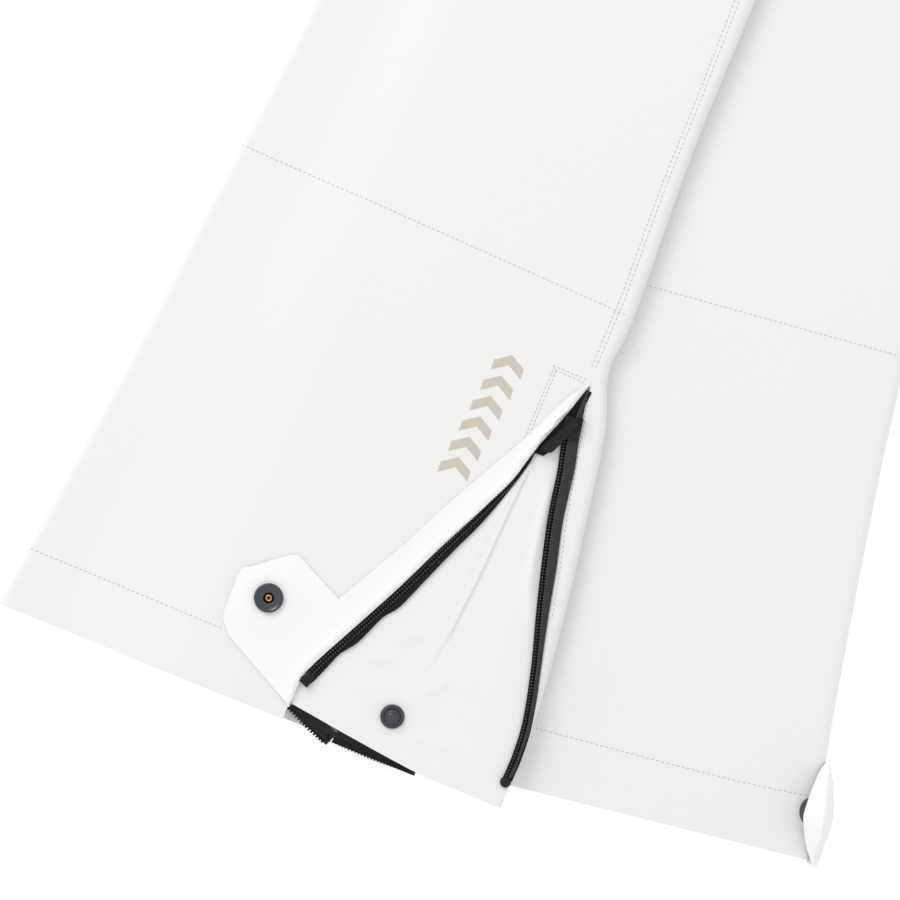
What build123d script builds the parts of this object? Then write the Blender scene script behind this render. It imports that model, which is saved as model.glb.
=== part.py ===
"""Ski pants, laid flat and folded in half along the centre seam, the left leg on top of the right one.

+Y runs from the hems to the waist, +X from the centre front fold to the side seams, and +Z up from the surface that
the pants lie on.  The origin is below the centre of the bounding box.  All sizes are millimetres.
The left leg's side zip is open over its gusset, and the storm flap with its snap tab is folded back on the leg.
"""
import os

from build123d import *

# ---------------------------------------------------------------- driving sizes
FABRIC = 1.0  # softshell
LINING = 0.5  # gusset, zip tape
GAITER_WALL = 0.4
LEG_THICK = 10.0  # one flattened leg: both layers and the air between them
LEG_GAP = 0.4  # between the two stacked legs
FOLD = LEG_THICK / 2  # outer radius of a folded side edge
UPPER = LEG_THICK + LEG_GAP  # underside of the leg on top
TOP = UPPER + LEG_THICK  # top surface of the leg on top
SEAT_EDGE = UPPER - 0.1  # the upper layers sink a little towards the centre seam
WAIST_SEAM_Y, WAIST_TOP_Y = 478.0, 516.0
BAND_WALL = 1.8
SEAT_INSET = 20.0  # the centre back fold lies this far inside the centre front fold
PLAY = 0.3  # between pieces that move

# A station is (left point, right point, x where the cloth starts down to the floor, x where it reaches it, height of
# the left edge).  Both points lie on the silhouette.
LEFT = {
    "hem": ((-201, -504), (82, -517), -102, -165, 0),
    "zip_top": ((-169, -280), (57, -293), -85, -138, 0),
    "cross_seam": ((-163, -240), (57, -259), -80, -132, 0),
    "knee": ((-147, -95), (62, -105), -75, -118, 0),
    "thigh": ((-180, 60), (68, 60), -125, -160, 0),
    "crotch": ((-222, 245), (75, 250), -180, -210, 0),
    "rise": ((-180, 300), (77, 300), -168, -173, SEAT_EDGE),
    "seat": ((-180, 300), (77, 300), -152, -157, SEAT_EDGE),
    "hip": ((-150, 380), (82, 380), -122, -127, SEAT_EDGE),
    "waist": ((-118, WAIST_SEAM_Y), (85, WAIST_SEAM_Y), -90, -95, SEAT_EDGE),
}
RIGHT = {
    "hem": ((-6, -513), (231, -492), 40, 30, 0),
    "zip_top": ((-23, -303), (206, -293), 40, 30, 0),
    "cross_seam": ((-27, -246), (197, -233), 40, 30, 0),
    "knee": ((-42, -100), (176, -90), 40, 30, 0),
    "thigh": ((-95, 60), (150, 75), 40, 30, 0),
    "crotch": ((-160, 240), (122, 250), 40, 30, 0),
    "rise": ((-166, 300), (112, 300), 40, 30, 0),
    "seat": ((-180, 300), (112, 300), 40, 30, 0),
    "hip": ((-150, 380), (98, 380), 40, 30, 0),
    "waist": ((-118, WAIST_SEAM_Y), (85, WAIST_SEAM_Y), 40, 30, 0),
}
SHIN = ["hem", "zip_top", "cross_seam"]
THIGH = ["cross_seam", "knee", "thigh", "crotch", "rise"]
BODY = ["seat", "hip", "waist"]

# The open side zip of the left leg: the flap hangs on its front line, the slider runs on its back line.
FRONT_TOP, FRONT_END = Vector(42, -312), Vector(-40, -488)
BACK_TOP, BACK_END = Vector(44, -312), Vector(68, -505)
TOOTH_PITCH = 2.0
FLAP_RISE = 3.2  # of the flap's hinge line above the leg
SNAP_DOWN, SNAP_OUT = 178.0, 43.7  # of the tab's snap: down the front line, and out from it
CAP_R, SOCKET_R, STUD_R = 7.5, 7.4, 6.2
POST_R, POST_HOLE_R = 2.6, 3.0

parts = {}


def keep(name, builder):
    """Labels a finished sub-part and keeps it for export."""
    builder.part.label = name
    parts[name] = builder.part


# ---------------------------------------------------------------- stations and layers
def between(first, second, share):
    """The station that lies a share of the way from the first to the second."""
    points = [tuple(p + (q - p) * share for p, q in zip(first[i], second[i])) for i in (0, 1)]
    return (*points, *(first[i] + (second[i] - first[i]) * share for i in (2, 3, 4)))


def width(station):
    return (Vector(*station[0]) - Vector(*station[1])).length


def section_plane(station):
    """The upright plane across a leg: its x runs from the right edge to the left one, its y is up."""
    right = Vector(*station[1])
    across = (Vector(*station[0]) - right).normalized()
    return Plane(origin=right, x_dir=across, z_dir=across.cross(Vector(0, 0, 1)))


def layer_outline(station, level, rise, thick, inset_left, inset_right):
    """A layer of cloth: level over what lies below it, then down to the height of its left edge."""
    reach = [width(station) * (station[1][0] - x) / (station[1][0] - station[0][0]) for x in station[2:4]]
    bends = [inset_right, *reach, width(station) - inset_left]
    heights = [level, level, station[4], station[4]]
    if level == 0:
        bends, heights = [bends[0], bends[-1]], [0, 0]
    under = [(b, h + rise) for b, h in zip(bends, heights)]
    over = [(b, h + rise + thick) for b, h in zip(bends, heights)]
    return under + over[::-1]


def cloth(stations, level, rise, thick, inset_left=FOLD, inset_right=FOLD):
    """Adds one flat layer through the stations, rise above the leg's underside, to the open part."""
    with BuildPart(mode=Mode.PRIVATE) as panel:
        for station in stations:
            with BuildSketch(section_plane(station)):
                with BuildLine():
                    Polyline(*layer_outline(station, level, rise, thick, inset_left, inset_right), close=True)
                make_face()
        loft(ruled=True)
    return panel.part


def fold_strip(stations, heights, radius, right_side):
    """The folded edge of a leg: half a ring of cloth that joins its front to its back."""
    with BuildPart(mode=Mode.PRIVATE) as strip:
        for station, height in zip(stations, heights):
            centre = radius if right_side else width(station) - radius
            outward = -1 if right_side else 1
            with BuildSketch(section_plane(station)):
                with Locations((centre, height + radius)):
                    Circle(radius)
                    Circle(radius - FABRIC, mode=Mode.SUBTRACT)
                with Locations((centre + outward * radius, height + radius)):
                    Rectangle(2 * radius, 2 * radius, mode=Mode.INTERSECT)
        loft(ruled=True)
    return strip.part


def prism(points, low, high):
    """An upright block over a flat outline."""
    with BuildPart(mode=Mode.PRIVATE) as block:
        with BuildSketch(Plane.XY.offset(low)):
            Polygon(*points, align=None)
        extrude(amount=high - low)
    return block.part


def frame_of(start, end, height=0.0):
    """A level plane whose x runs from start to end; its y is to the left of that."""
    return Plane(origin=(start.X, start.Y, height), x_dir=end - start, z_dir=(0, 0, 1))


def on_line(plane, points):
    """Outline points given along and left of a line, as points of the row frame."""
    return [(p.X, p.Y) for p in (plane.from_local_coords((u, v, 0)) for u, v in points)]


# ---------------------------------------------------------------- closed zips
ZIP_SLOT, ZIP_HOUSING = 13.0, 17.0
ZIP_DEPTH = 4.0  # from the cloth's face down to the tape
CHAIN_WIDTH, CHAIN_THICK = 4.5, 1.0
SLIDER_LONG, SLIDER_WIDE = 12.0, 8.0
PULL_LONG, PULL_WIDE, BARREL_R = 13.0, 4.6, 0.5


def zip_slot(start, end):
    """The opening a closed zip needs in its panel."""
    length = (end - start).length
    side = ZIP_SLOT / 2
    outline = [(-3, -side), (length + 3, -side), (length + 3, side), (-3, side)]
    return on_line(frame_of(start, end), outline)


def closed_zip(name, start, end, face, facing):
    """Tape, chain, slider and pull, sunk into a panel whose outer face is at that height and faces up or down."""
    length = (end - start).length
    along = (end - start).normalized()
    plane = Plane(origin=(start.X, start.Y, face), x_dir=along, z_dir=(0, 0, -facing))  # depth is along its z
    with BuildPart() as tape:
        with BuildSketch(plane.offset(FABRIC)):
            with Locations((length / 2, 0)):
                Rectangle(length + 10, ZIP_HOUSING)
        extrude(amount=ZIP_DEPTH + LINING - FABRIC)
        with BuildSketch(plane.offset(FABRIC)):
            with Locations((length / 2, 0)):
                Rectangle(length + 6, ZIP_SLOT)
        extrude(amount=ZIP_DEPTH - FABRIC, mode=Mode.SUBTRACT)
        with BuildSketch(plane.offset(ZIP_DEPTH - CHAIN_THICK)):
            with Locations((length / 2, 0)):
                Rectangle(length, CHAIN_WIDTH)
        extrude(amount=CHAIN_THICK)
    keep(f"{name}_tape", tape)
    rest = SLIDER_LONG / 2 + 2
    body_top, body_low = 1.4, ZIP_DEPTH - CHAIN_THICK - PLAY
    with BuildPart() as slider:
        with BuildSketch(plane.offset(body_top)):
            with Locations((rest, 0)):
                RectangleRounded(SLIDER_LONG, SLIDER_WIDE, 1.5)
        extrude(amount=body_low - body_top)
        with BuildSketch(plane.offset(body_low)):
            for side in (1, -1):
                with Locations((rest, side * (SLIDER_WIDE + CHAIN_WIDTH + 2 * PLAY) / 4)):
                    Rectangle(SLIDER_LONG - 3, (SLIDER_WIDE - CHAIN_WIDTH - 2 * PLAY) / 2)
        extrude(amount=CHAIN_THICK)
        with BuildSketch(plane.offset(body_top - 1.1)):
            for side in (1, -1):
                with Locations((rest, side * (PULL_WIDE / 2 + PLAY + 0.5))):
                    Rectangle(3, 1)
        extrude(amount=1.1)
    keep(f"{name}_slider", slider)
    barrel = Plane(plane.from_local_coords((rest, -PULL_WIDE / 2, 0.7)), x_dir=along, z_dir=plane.y_dir)
    with BuildPart() as pull:
        with BuildSketch(plane.offset(0.4)):
            with Locations((rest + PULL_LONG / 2, 0)):
                Rectangle(PULL_LONG, PULL_WIDE)
            with Locations((rest + PULL_LONG - 3, 0)):
                Circle(1.2, mode=Mode.SUBTRACT)
        extrude(amount=0.6)
        with BuildSketch(barrel):
            Circle(BARREL_R)
        extrude(amount=PULL_WIDE)
    keep(f"{name}_pull", pull)


# ---------------------------------------------------------------- the legs' cloth
left_shin = [LEFT[s] for s in SHIN]
left_thigh = [LEFT[s] for s in THIGH]
left_body = [LEFT[s] for s in BODY]
right_shin = [RIGHT[s] for s in SHIN]
right_thigh = [RIGHT[s] for s in THIGH]
right_body = [RIGHT[s] for s in BODY]
OVER = LEG_THICK - FABRIC  # rise of a leg's upper layer

line = frame_of(FRONT_TOP, FRONT_END)  # down the front line; its y points to the gusset
back_line = frame_of(BACK_TOP, BACK_END)  # down the back line; its y points to the side fold
BACK_EDGE, CHANNEL_EDGE = 5.5, -6.5  # of the slider's channel, from the back line
past = 40.0  # beyond the hem, for cuts
slit = on_line(line, [(0, 0), ((FRONT_END - FRONT_TOP).length + past, 0)])
slit += on_line(back_line, [((BACK_END - BACK_TOP).length + past, BACK_EDGE), (0, BACK_EDGE)])

fly_top, fly_end = Vector(-92, 470), Vector(-134, 340)
left_pocket_top, left_pocket_end = Vector(58, 462), Vector(50, 312)
right_pocket_top, right_pocket_end = Vector(60, 462), Vector(72, 312)
right_zip_top, right_zip_end = Vector(178, -296), Vector(202, -486)

with BuildPart() as left_shin_panel:
    add(cloth(left_shin, UPPER, OVER, FABRIC))
    add(prism(slit, TOP - 2, TOP + 1), mode=Mode.SUBTRACT)
keep("left_shin_panel", left_shin_panel)

with BuildPart() as left_calf_panel:
    add(cloth(left_shin, UPPER, 0, FABRIC))
keep("left_calf_panel", left_calf_panel)

with BuildPart() as left_front_panel:
    add(cloth(left_thigh, UPPER, OVER, FABRIC))
    add(cloth(left_body, UPPER, OVER, FABRIC, inset_left=TOP / 2))
    add(prism(zip_slot(fly_top, fly_end), TOP - 2, TOP + 1), mode=Mode.SUBTRACT)
    add(prism(zip_slot(left_pocket_top, left_pocket_end), TOP - 2, TOP + 1), mode=Mode.SUBTRACT)
keep("left_front_panel", left_front_panel)

with BuildPart() as left_back_panel:
    add(cloth(left_thigh, UPPER, 0, FABRIC))
    add(cloth(left_body, UPPER, 0, FABRIC, inset_left=SEAT_INSET))
keep("left_back_panel", left_back_panel)

with BuildPart() as right_shin_panel:
    add(cloth(right_shin, 0, 0, FABRIC))
    add(prism(zip_slot(right_zip_top, right_zip_end), -1, 2), mode=Mode.SUBTRACT)
keep("right_shin_panel", right_shin_panel)

with BuildPart() as right_calf_panel:
    add(cloth(right_shin, 0, OVER, FABRIC))
keep("right_calf_panel", right_calf_panel)

with BuildPart() as right_front_panel:
    add(cloth(right_thigh, 0, 0, FABRIC))
    add(cloth(right_body, 0, 0, FABRIC, inset_left=TOP / 2))
    add(prism(zip_slot(right_pocket_top, right_pocket_end), -1, 2), mode=Mode.SUBTRACT)
keep("right_front_panel", right_front_panel)

with BuildPart() as right_back_panel:
    add(cloth(right_thigh, 0, OVER, FABRIC))
    add(cloth(right_body, 0, OVER, FABRIC, inset_left=SEAT_INSET))
keep("right_back_panel", right_back_panel)

for side, stations, level in (("left", LEFT, UPPER), ("right", RIGHT, 0)):
    whole = [stations[s] for s in SHIN + THIGH[1:] + BODY[1:]]
    legs_only = [stations[s] for s in SHIN + THIGH[1:]]
    with BuildPart() as outseam:
        add(fold_strip(whole, [level] * len(whole), FOLD, True))
    keep(f"{side}_outseam", outseam)
    with BuildPart() as inseam:
        add(fold_strip(legs_only, [s[4] for s in legs_only], FOLD, False))
    keep(f"{side}_inseam", inseam)

with BuildPart() as centre_front_seam:
    add(fold_strip(right_body, [0] * len(right_body), TOP / 2, False))
keep("centre_front_seam", centre_front_seam)

with BuildPart() as centre_back_seam:
    for station in right_body:
        with BuildSketch(section_plane(station)):
            with Locations((width(station) - SEAT_INSET + 1, UPPER - LEG_GAP / 2)):
                Rectangle(2, LEG_GAP + 2 * FABRIC)
    loft(ruled=True)
keep("centre_back_seam", centre_back_seam)

# ---------------------------------------------------------------- waistband
band_left, band_right = LEFT["waist"][0][0], LEFT["waist"][1][0]
band_plane = Plane(origin=(0, WAIST_SEAM_Y, 0), x_dir=(1, 0, 0), z_dir=(0, -1, 0))


def band_section(inset):
    """The waistband seen from above, shrunk by the inset: two flat lobes joined round the centre front fold."""
    lobe = LEG_THICK - 2 * inset
    for low in (inset, UPPER + inset):
        with Locations(((band_left + TOP / 2 + band_right - FOLD) / 2, low + lobe / 2)):
            Rectangle(band_right - FOLD - band_left - TOP / 2, lobe)
        with Locations((band_right - FOLD, low + lobe / 2)):
            Circle(FOLD - inset)


with BuildPart() as waistband:
    with BuildSketch(band_plane):
        band_section(0)
        with Locations((band_left + TOP / 2, TOP / 2)):
            Circle(TOP / 2)
        with Locations((band_left + TOP / 2 + (SEAT_INSET - TOP / 2) / 2, TOP / 2)):
            Rectangle(SEAT_INSET - TOP / 2, TOP)
        with Locations(((band_left + SEAT_INSET + band_right) / 2, TOP / 2)):
            Rectangle(band_right - band_left - SEAT_INSET, LEG_GAP, mode=Mode.SUBTRACT)
    extrude(amount=WAIST_SEAM_Y - WAIST_TOP_Y)
    with BuildSketch(band_plane):
        band_section(BAND_WALL)
        with Locations((band_left + TOP / 2, TOP / 2)):
            Circle(TOP / 2 - BAND_WALL)
        with Locations((band_left + TOP / 2 + 3, TOP / 2)):
            Rectangle(6, TOP - 2 * BAND_WALL)
    extrude(amount=WAIST_SEAM_Y - WAIST_TOP_Y, mode=Mode.SUBTRACT)
keep("waistband", waistband)

TAB_ROOT_X, TAB_LONG = -62.0, 38.0
TAB_LOW = 2.6  # underside of the closure tab above the band
band_middle = (WAIST_SEAM_Y + WAIST_TOP_Y) / 2
snap_spots = [(TAB_ROOT_X - TAB_LONG + 10, band_middle + offset) for offset in (-9, 9)]

with BuildPart() as waist_tab:
    with BuildSketch(Plane.XY.offset(TOP + TAB_LOW)):
        with Locations((TAB_ROOT_X - TAB_LONG / 2, band_middle)):
            Rectangle(TAB_LONG, 34)
    extrude(amount=FABRIC)
    with Locations((TAB_ROOT_X, band_middle, TOP + TAB_LOW + FABRIC / 2)):
        Cylinder(0.9, 34, rotation=(90, 0, 0))
keep("waist_tab", waist_tab)

with BuildPart() as waist_tab_root:
    with Locations((TAB_ROOT_X + 3.2, band_middle, TOP)):
        Box(10, 34, TAB_LOW - 0.7, align=(Align.CENTER, Align.CENTER, Align.MIN))
keep("waist_tab_root", waist_tab_root)

with BuildPart() as waist_studs:
    with Locations(*[(x, y, TOP) for x, y in snap_spots]):
        Cylinder(5, 0.8, align=(Align.CENTER, Align.CENTER, Align.MIN))
        Cylinder(2, 2.2, align=(Align.CENTER, Align.CENTER, Align.MIN))
keep("waist_studs", waist_studs)

with BuildPart() as waist_sockets:
    with Locations(*[(x, y, TOP + TAB_LOW) for x, y in snap_spots]):
        Cylinder(5.5, 1.4, align=(Align.CENTER, Align.CENTER, Align.MAX))
    with Locations(*[(x, y, TOP + TAB_LOW) for x, y in snap_spots]):
        Cylinder(2.5, 1.4, align=(Align.CENTER, Align.CENTER, Align.MAX), mode=Mode.SUBTRACT)
    with Locations(*[(x, y, TOP + TAB_LOW + FABRIC) for x, y in snap_spots]):
        Cylinder(6, 0.9, align=(Align.CENTER, Align.CENTER, Align.MIN))
keep("waist_sockets", waist_sockets)

with BuildPart() as belt_loops:
    for x in (-20, 62):
        with Locations((x, WAIST_SEAM_Y + 2, TOP), (x, WAIST_TOP_Y - 4, TOP)):
            Box(9, 4, 3, align=(Align.CENTER, Align.CENTER, Align.MIN))
        with Locations((x, band_middle - 1, TOP + 2)):
            Box(9, WAIST_TOP_Y - WAIST_SEAM_Y - 2, 1, align=(Align.CENTER, Align.CENTER, Align.MIN))
keep("belt_loops", belt_loops)

with BuildPart() as care_label:
    with Locations((-50, WAIST_SEAM_Y - 10, UPPER + BAND_WALL)):
        Box(30, 44, 0.3, align=(Align.CENTER, Align.CENTER, Align.MIN))
keep("care_label", care_label)

closed_zip("fly", fly_top, fly_end, TOP - UPPER + SEAT_EDGE, 1)
closed_zip("left_pocket", left_pocket_top, left_pocket_end, TOP, 1)
closed_zip("right_pocket", right_pocket_top, right_pocket_end, 0, -1)
closed_zip("right_zip", right_zip_top, right_zip_end, 0, -1)

# ---------------------------------------------------------------- left side zip, open
front_length, back_length = (FRONT_END - FRONT_TOP).length, (BACK_END - BACK_TOP).length
sheet_low = TOP - FABRIC - LINING
channel_low = TOP - FABRIC - 2.5
hem_line = frame_of(Vector(*LEFT["hem"][0]), Vector(*LEFT["hem"][1]))
under_hem = [(-30, -60), (330, -60), (330, 0), (-30, 0)]
HEM_END = 205.0  # of the gusset down the front line


def beside(plane, reach, low_edge, high_edge, start=0.0):
    """A strip beside a line, between two distances from it."""
    return on_line(plane, [(start, low_edge), (reach, low_edge), (reach, high_edge), (start, high_edge)])


with BuildPart() as left_gusset:
    outline = on_line(line, [(-6, -6), (HEM_END + past, -6)])
    outline += on_line(back_line, [(back_length + past, BACK_EDGE + 1.5), (-6, BACK_EDGE + 1.5)])
    add(prism(outline, channel_low, TOP - FABRIC))
    main = on_line(line, [(-30, -20), (HEM_END + past + 20, -20)])
    main += on_line(back_line, [(back_length + past + 20, CHANNEL_EDGE - LINING), (-30, CHANNEL_EDGE - LINING)])
    add(prism(main, channel_low - 1, sheet_low), mode=Mode.SUBTRACT)
    channel = beside(back_line, back_length + past + 20, CHANNEL_EDGE, BACK_EDGE)
    add(prism(channel, channel_low + LINING, TOP), mode=Mode.SUBTRACT)
    add(prism(on_line(hem_line, under_hem), 0, TOP + 5), mode=Mode.SUBTRACT)
keep("left_gusset", left_gusset)

with BuildPart() as left_flap_root:
    add(prism(beside(line, 203, -1.2, 1.2, 40), TOP, TOP + 1.2))
    add(prism(on_line(line, [(40, 0), (203, 0), (203, 2), (40, 2)]), TOP - 1, TOP + 2), mode=Mode.SUBTRACT)
keep("left_flap_root", left_flap_root)

flap_low = TOP + FLAP_RISE - 1.6
flap_outline = [(42, -0.3), (42, -4.5), (151, -15.7), (152, -48), (176, -62), (192, -59), (204, -44), (206, -8)]
flap_outline += [(200, -0.3)]
hinge = Plane(origin=line.from_local_coords((42, 0, TOP + FLAP_RISE)), x_dir=(0, 0, 1), z_dir=line.x_dir)
snap = line.from_local_coords((SNAP_DOWN, -SNAP_OUT, 0))

with BuildPart() as left_storm_flap:
    add(prism(on_line(line, flap_outline), flap_low, flap_low + FABRIC))
    with BuildSketch(hinge):
        Circle(1.0)
    extrude(amount=158)
keep("left_storm_flap", left_storm_flap)

with BuildPart() as left_snap_socket:
    with BuildSketch(Plane.XY.offset(flap_low + FABRIC)):
        with Locations((snap.X, snap.Y)):
            Circle(SOCKET_R)
            Circle(POST_HOLE_R, mode=Mode.SUBTRACT)
    extrude(amount=2.4)
    chamfer(left_snap_socket.edges().group_by(Axis.Z)[-1], 0.5)
    with Locations((snap.X, snap.Y, flap_low)):
        Cylinder(CAP_R, 1.2, align=(Align.CENTER, Align.CENTER, Align.MAX))
keep("left_snap_socket", left_snap_socket)

stud_spot = line.from_local_coords((SNAP_DOWN, SNAP_OUT, 0))
with BuildPart() as left_snap_stud:
    with BuildSketch(Plane.XY.offset(TOP - FABRIC)):
        with Locations((stud_spot.X, stud_spot.Y)):
            Circle(STUD_R)
    extrude(amount=1.2)
    chamfer(left_snap_stud.edges().group_by(Axis.Z)[-1], 0.4)
    with Locations((stud_spot.X, stud_spot.Y, TOP - FABRIC)):
        Cylinder(POST_R, FABRIC + FLAP_RISE + 0.2, align=(Align.CENTER, Align.CENTER, Align.MIN))
    fillet(left_snap_stud.edges().group_by(Axis.Z)[-1], 0.8)
keep("left_snap_stud", left_snap_stud)


def comb(plane, first, last, middle, reach, low, tape_low, tape_edges):
    """A zip tape with its row of teeth, along a line."""
    count = int((last - first) / TOOTH_PITCH)
    with BuildPart(mode=Mode.PRIVATE) as row:
        add(prism(beside(plane, last, *tape_edges, first), tape_low, tape_low + LINING))
        with BuildSketch(Plane(origin=plane.from_local_coords((0, 0, low)), x_dir=plane.x_dir, z_dir=(0, 0, 1))):
            with Locations(*[(first + 1 + i * TOOTH_PITCH, middle) for i in range(count)]):
                Rectangle(TOOTH_PITCH * 0.55, reach)
        extrude(amount=2)
    return row.part


with BuildPart() as left_zip_front:
    add(comb(line, 44, front_length, 6.5, 4, TOP - FABRIC, TOP - FABRIC, (0.0, 7.0)))
keep("left_zip_front", left_zip_front)

with BuildPart() as left_zip_back:
    add(comb(back_line, 6, back_length, 0, 4.4, TOP - 0.75, TOP, (-1.0, BACK_EDGE + 3)))
keep("left_zip_back", left_zip_back)

with BuildPart() as left_zip_stops:
    add(prism(beside(line, front_length + 6, 4.5, 8.5, front_length), TOP - FABRIC, TOP + 1))
    add(prism(beside(back_line, back_length + 6, -2.2, 7.5, back_length), TOP, TOP + 1.4))
keep("left_zip_stops", left_zip_stops)

SLIDE_REST, SLIDE_HALF, SLIDE_SIDE = 11.0, 6.0, 4.6
SLIDE_TOP, PULL_LOW, PULL_THICK = 2.5, 3.1, 0.8  # above the leg
with BuildPart() as left_zip_slider:
    add(prism(beside(back_line, SLIDE_REST + SLIDE_HALF, -SLIDE_SIDE, SLIDE_SIDE, SLIDE_REST - SLIDE_HALF),
              TOP - 2.0, TOP + SLIDE_TOP))
    add(prism(beside(back_line, 60, -2.6, 2.6), TOP - 1.05, TOP + 1.55), mode=Mode.SUBTRACT)
    add(prism(beside(back_line, 60, 0, 20), TOP - 0.3, TOP + 0.8), mode=Mode.SUBTRACT)
    for side in (1, -1):
        lug = beside(back_line, SLIDE_REST - 3, side * 2.7, side * 3.9, SLIDE_REST - SLIDE_HALF)
        add(prism(lug, TOP + SLIDE_TOP, TOP + PULL_LOW + PULL_THICK))
keep("left_zip_slider", left_zip_slider)

pull_axis = back_line.from_local_coords((SLIDE_REST - 4.5, -2.4, TOP + PULL_LOW + PULL_THICK / 2))
hanging = [(-2.2, -2.4), (-4.5, -2.4), (-4.5, 2.4), (-1.5, 2.4), (13, -6.8), (14.5, -8.2), (14.5, -13.2), (13, -13.8)]
with BuildPart() as left_zip_pull:
    add(prism(on_line(back_line, [(SLIDE_REST + u, v) for u, v in hanging]),
              TOP + PULL_LOW, TOP + PULL_LOW + PULL_THICK))
    with BuildSketch(Plane(origin=pull_axis, x_dir=back_line.x_dir, z_dir=back_line.y_dir)):
        Circle(0.7)
    extrude(amount=4.8)
keep("left_zip_pull", left_zip_pull)

with BuildPart() as left_placket:
    add(prism([(25, -294.5), (46.5, -296), (42.5, -309), (27, -341), (22.5, -340)], TOP, TOP + 0.3))
keep("left_placket", left_placket)

PRINT_START, PRINT_STEP = (-4.5, -366.0), (1.75, 11.6)
PRINT_SIDE, PRINT_PEAK, PRINT_STROKE = 8.0, 5.0, 5.4
chevron = [(-PRINT_SIDE, 0), (0, PRINT_PEAK), (PRINT_SIDE, 0), (PRINT_SIDE, PRINT_STROKE)]
chevron += [(0, PRINT_PEAK + PRINT_STROKE), (-PRINT_SIDE, PRINT_STROKE)]
with BuildPart() as left_print:
    for i in range(6):
        base = (PRINT_START[0] + i * PRINT_STEP[0], PRINT_START[1] + i * PRINT_STEP[1])
        add(prism([(base[0] + x, base[1] + y) for x, y in chevron], TOP, TOP + 0.2))
keep("left_print", left_print)

# ---------------------------------------------------------------- gaiters
def tube(stations, level, low, high, inset_left, inset_right):
    """A flattened tube through stations."""
    with BuildPart(mode=Mode.PRIVATE) as sleeve:
        add(cloth(stations, level, low, high - low, inset_left, inset_right))
        hollow = high - low - 2 * GAITER_WALL
        add(cloth(stations, level, low + GAITER_WALL, hollow, inset_left + GAITER_WALL, inset_right + GAITER_WALL),
            mode=Mode.SUBTRACT)
    return sleeve.part


for side, stations, level, inset_right, high in (
    ("left", LEFT, UPPER, FOLD + 1, 6.2), ("right", RIGHT, 0, FOLD + 36, LEG_THICK - FABRIC - PLAY),
):
    low = FABRIC + PLAY
    marks = [between(stations["hem"], stations["zip_top"], share) for share in (0.04, 0.09, 1)]
    rim = [stations["zip_top"], between(stations["zip_top"], stations["cross_seam"], 0.1)]
    with BuildPart() as elastic:
        add(tube(marks[:2], level, low, high, FOLD + 1, inset_right))
    keep(f"{side}_gaiter_elastic", elastic)
    with BuildPart() as gaiter:
        add(tube(marks[1:], level, low, high, FOLD + 1, inset_right))
        add(cloth(rim, level, FABRIC, LEG_THICK - 2 * FABRIC, FOLD, inset_right))
        add(cloth(rim, level, low + GAITER_WALL, high - low - 2 * GAITER_WALL, FOLD + 1 + GAITER_WALL,
                  inset_right + GAITER_WALL), mode=Mode.SUBTRACT)
    keep(f"{side}_gaiter", gaiter)
    hook_long = 6.5
    hook_x = {"left": -60, "right": 95}[side]
    hook_y = {"left": -506, "right": -499.4}[side]
    front = {"left": UPPER + high - 0.8, "right": low}[side]
    lip = {"left": front - 1.6, "right": front}[side]
    with BuildPart() as hook:
        with Locations((hook_x, hook_y, front)):
            Box(10, hook_long, 0.8, align=(Align.CENTER, Align.CENTER, Align.MIN))
        with Locations((hook_x, hook_y - hook_long / 2, lip)):
            Box(6, 1, 2.4, align=(Align.CENTER, Align.MIN, Align.MIN))
    keep(f"{side}_boot_hook", hook)

with BuildPart() as left_gaiter_zip:
    for start, end in ((Vector(-44, -503.5), Vector(-20, -515)), (Vector(-18, -512.5), Vector(27, -515))):
        run = frame_of(start, end)
        length = (end - start).length
        add(prism(beside(run, length, 0, 6), UPPER + 5, UPPER + 5.5))
        add(prism(beside(run, length, -2, 1), UPPER + 4.6, UPPER + 6.2))
keep("left_gaiter_zip", left_gaiter_zip)

with BuildPart() as right_gusset:
    fold = frame_of(right_zip_top, right_zip_end)
    add(prism(beside(fold, 188, 9, 21), FABRIC, FABRIC + LINING))
keep("right_gusset", right_gusset)

# ---------------------------------------------------------------- right hem tab
edge_top, edge_end = Vector(226, -443), Vector(232.3, -492)
tab_length = (edge_end - edge_top).length
root = Plane(origin=(edge_top.X, edge_top.Y, 0), x_dir=(1, 0, 0), z_dir=edge_end - edge_top)
TAB_AXIS = (2.4, 5.0)  # beside the folded edge, above the floor
RIDGE, TIP = (3.4, 28.4), (-7.6, 18.2)
with BuildPart() as right_hem_tab:
    with BuildSketch(root):
        with BuildLine():
            Polyline(TAB_AXIS, RIDGE, TIP, (TIP[0] + 0.9, TIP[1] - 0.6), (RIDGE[0] - 0.9, RIDGE[1] - 2.2),
                     (TAB_AXIS[0] - 1, TAB_AXIS[1]), close=True)
        make_face()
        with Locations((TAB_AXIS[0] - 0.5, TAB_AXIS[1])):
            Circle(0.9)
    extrude(amount=tab_length)
keep("right_hem_tab", right_hem_tab)

lean = (root.x_dir * (RIDGE[0] - TIP[0]) + root.y_dir * (RIDGE[1] - TIP[1])).normalized()
inner = lean.cross(root.z_dir)
socket_spot = root.from_local_coords((*TIP, tab_length / 2)) + lean * 2.6 + inner * 1.15
with BuildPart() as right_snap_socket:
    with BuildSketch(Plane(origin=socket_spot, x_dir=root.z_dir, z_dir=inner)):
        Circle(SOCKET_R)
        Circle(POST_HOLE_R, mode=Mode.SUBTRACT)
    extrude(amount=1.8)
keep("right_snap_socket", right_snap_socket)

os.makedirs("parts", exist_ok=True)
for name, shape in parts.items():
    export_step(shape, f"parts/{name}.step")
    box = shape.bounding_box()
    print(f"{name:24s} solids {len(shape.solids())}  {box.min.X:7.1f} {box.min.Y:7.1f} {box.min.Z:6.2f} "
          f"{box.max.X:7.1f} {box.max.Y:7.1f} {box.max.Z:6.2f}")
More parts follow.
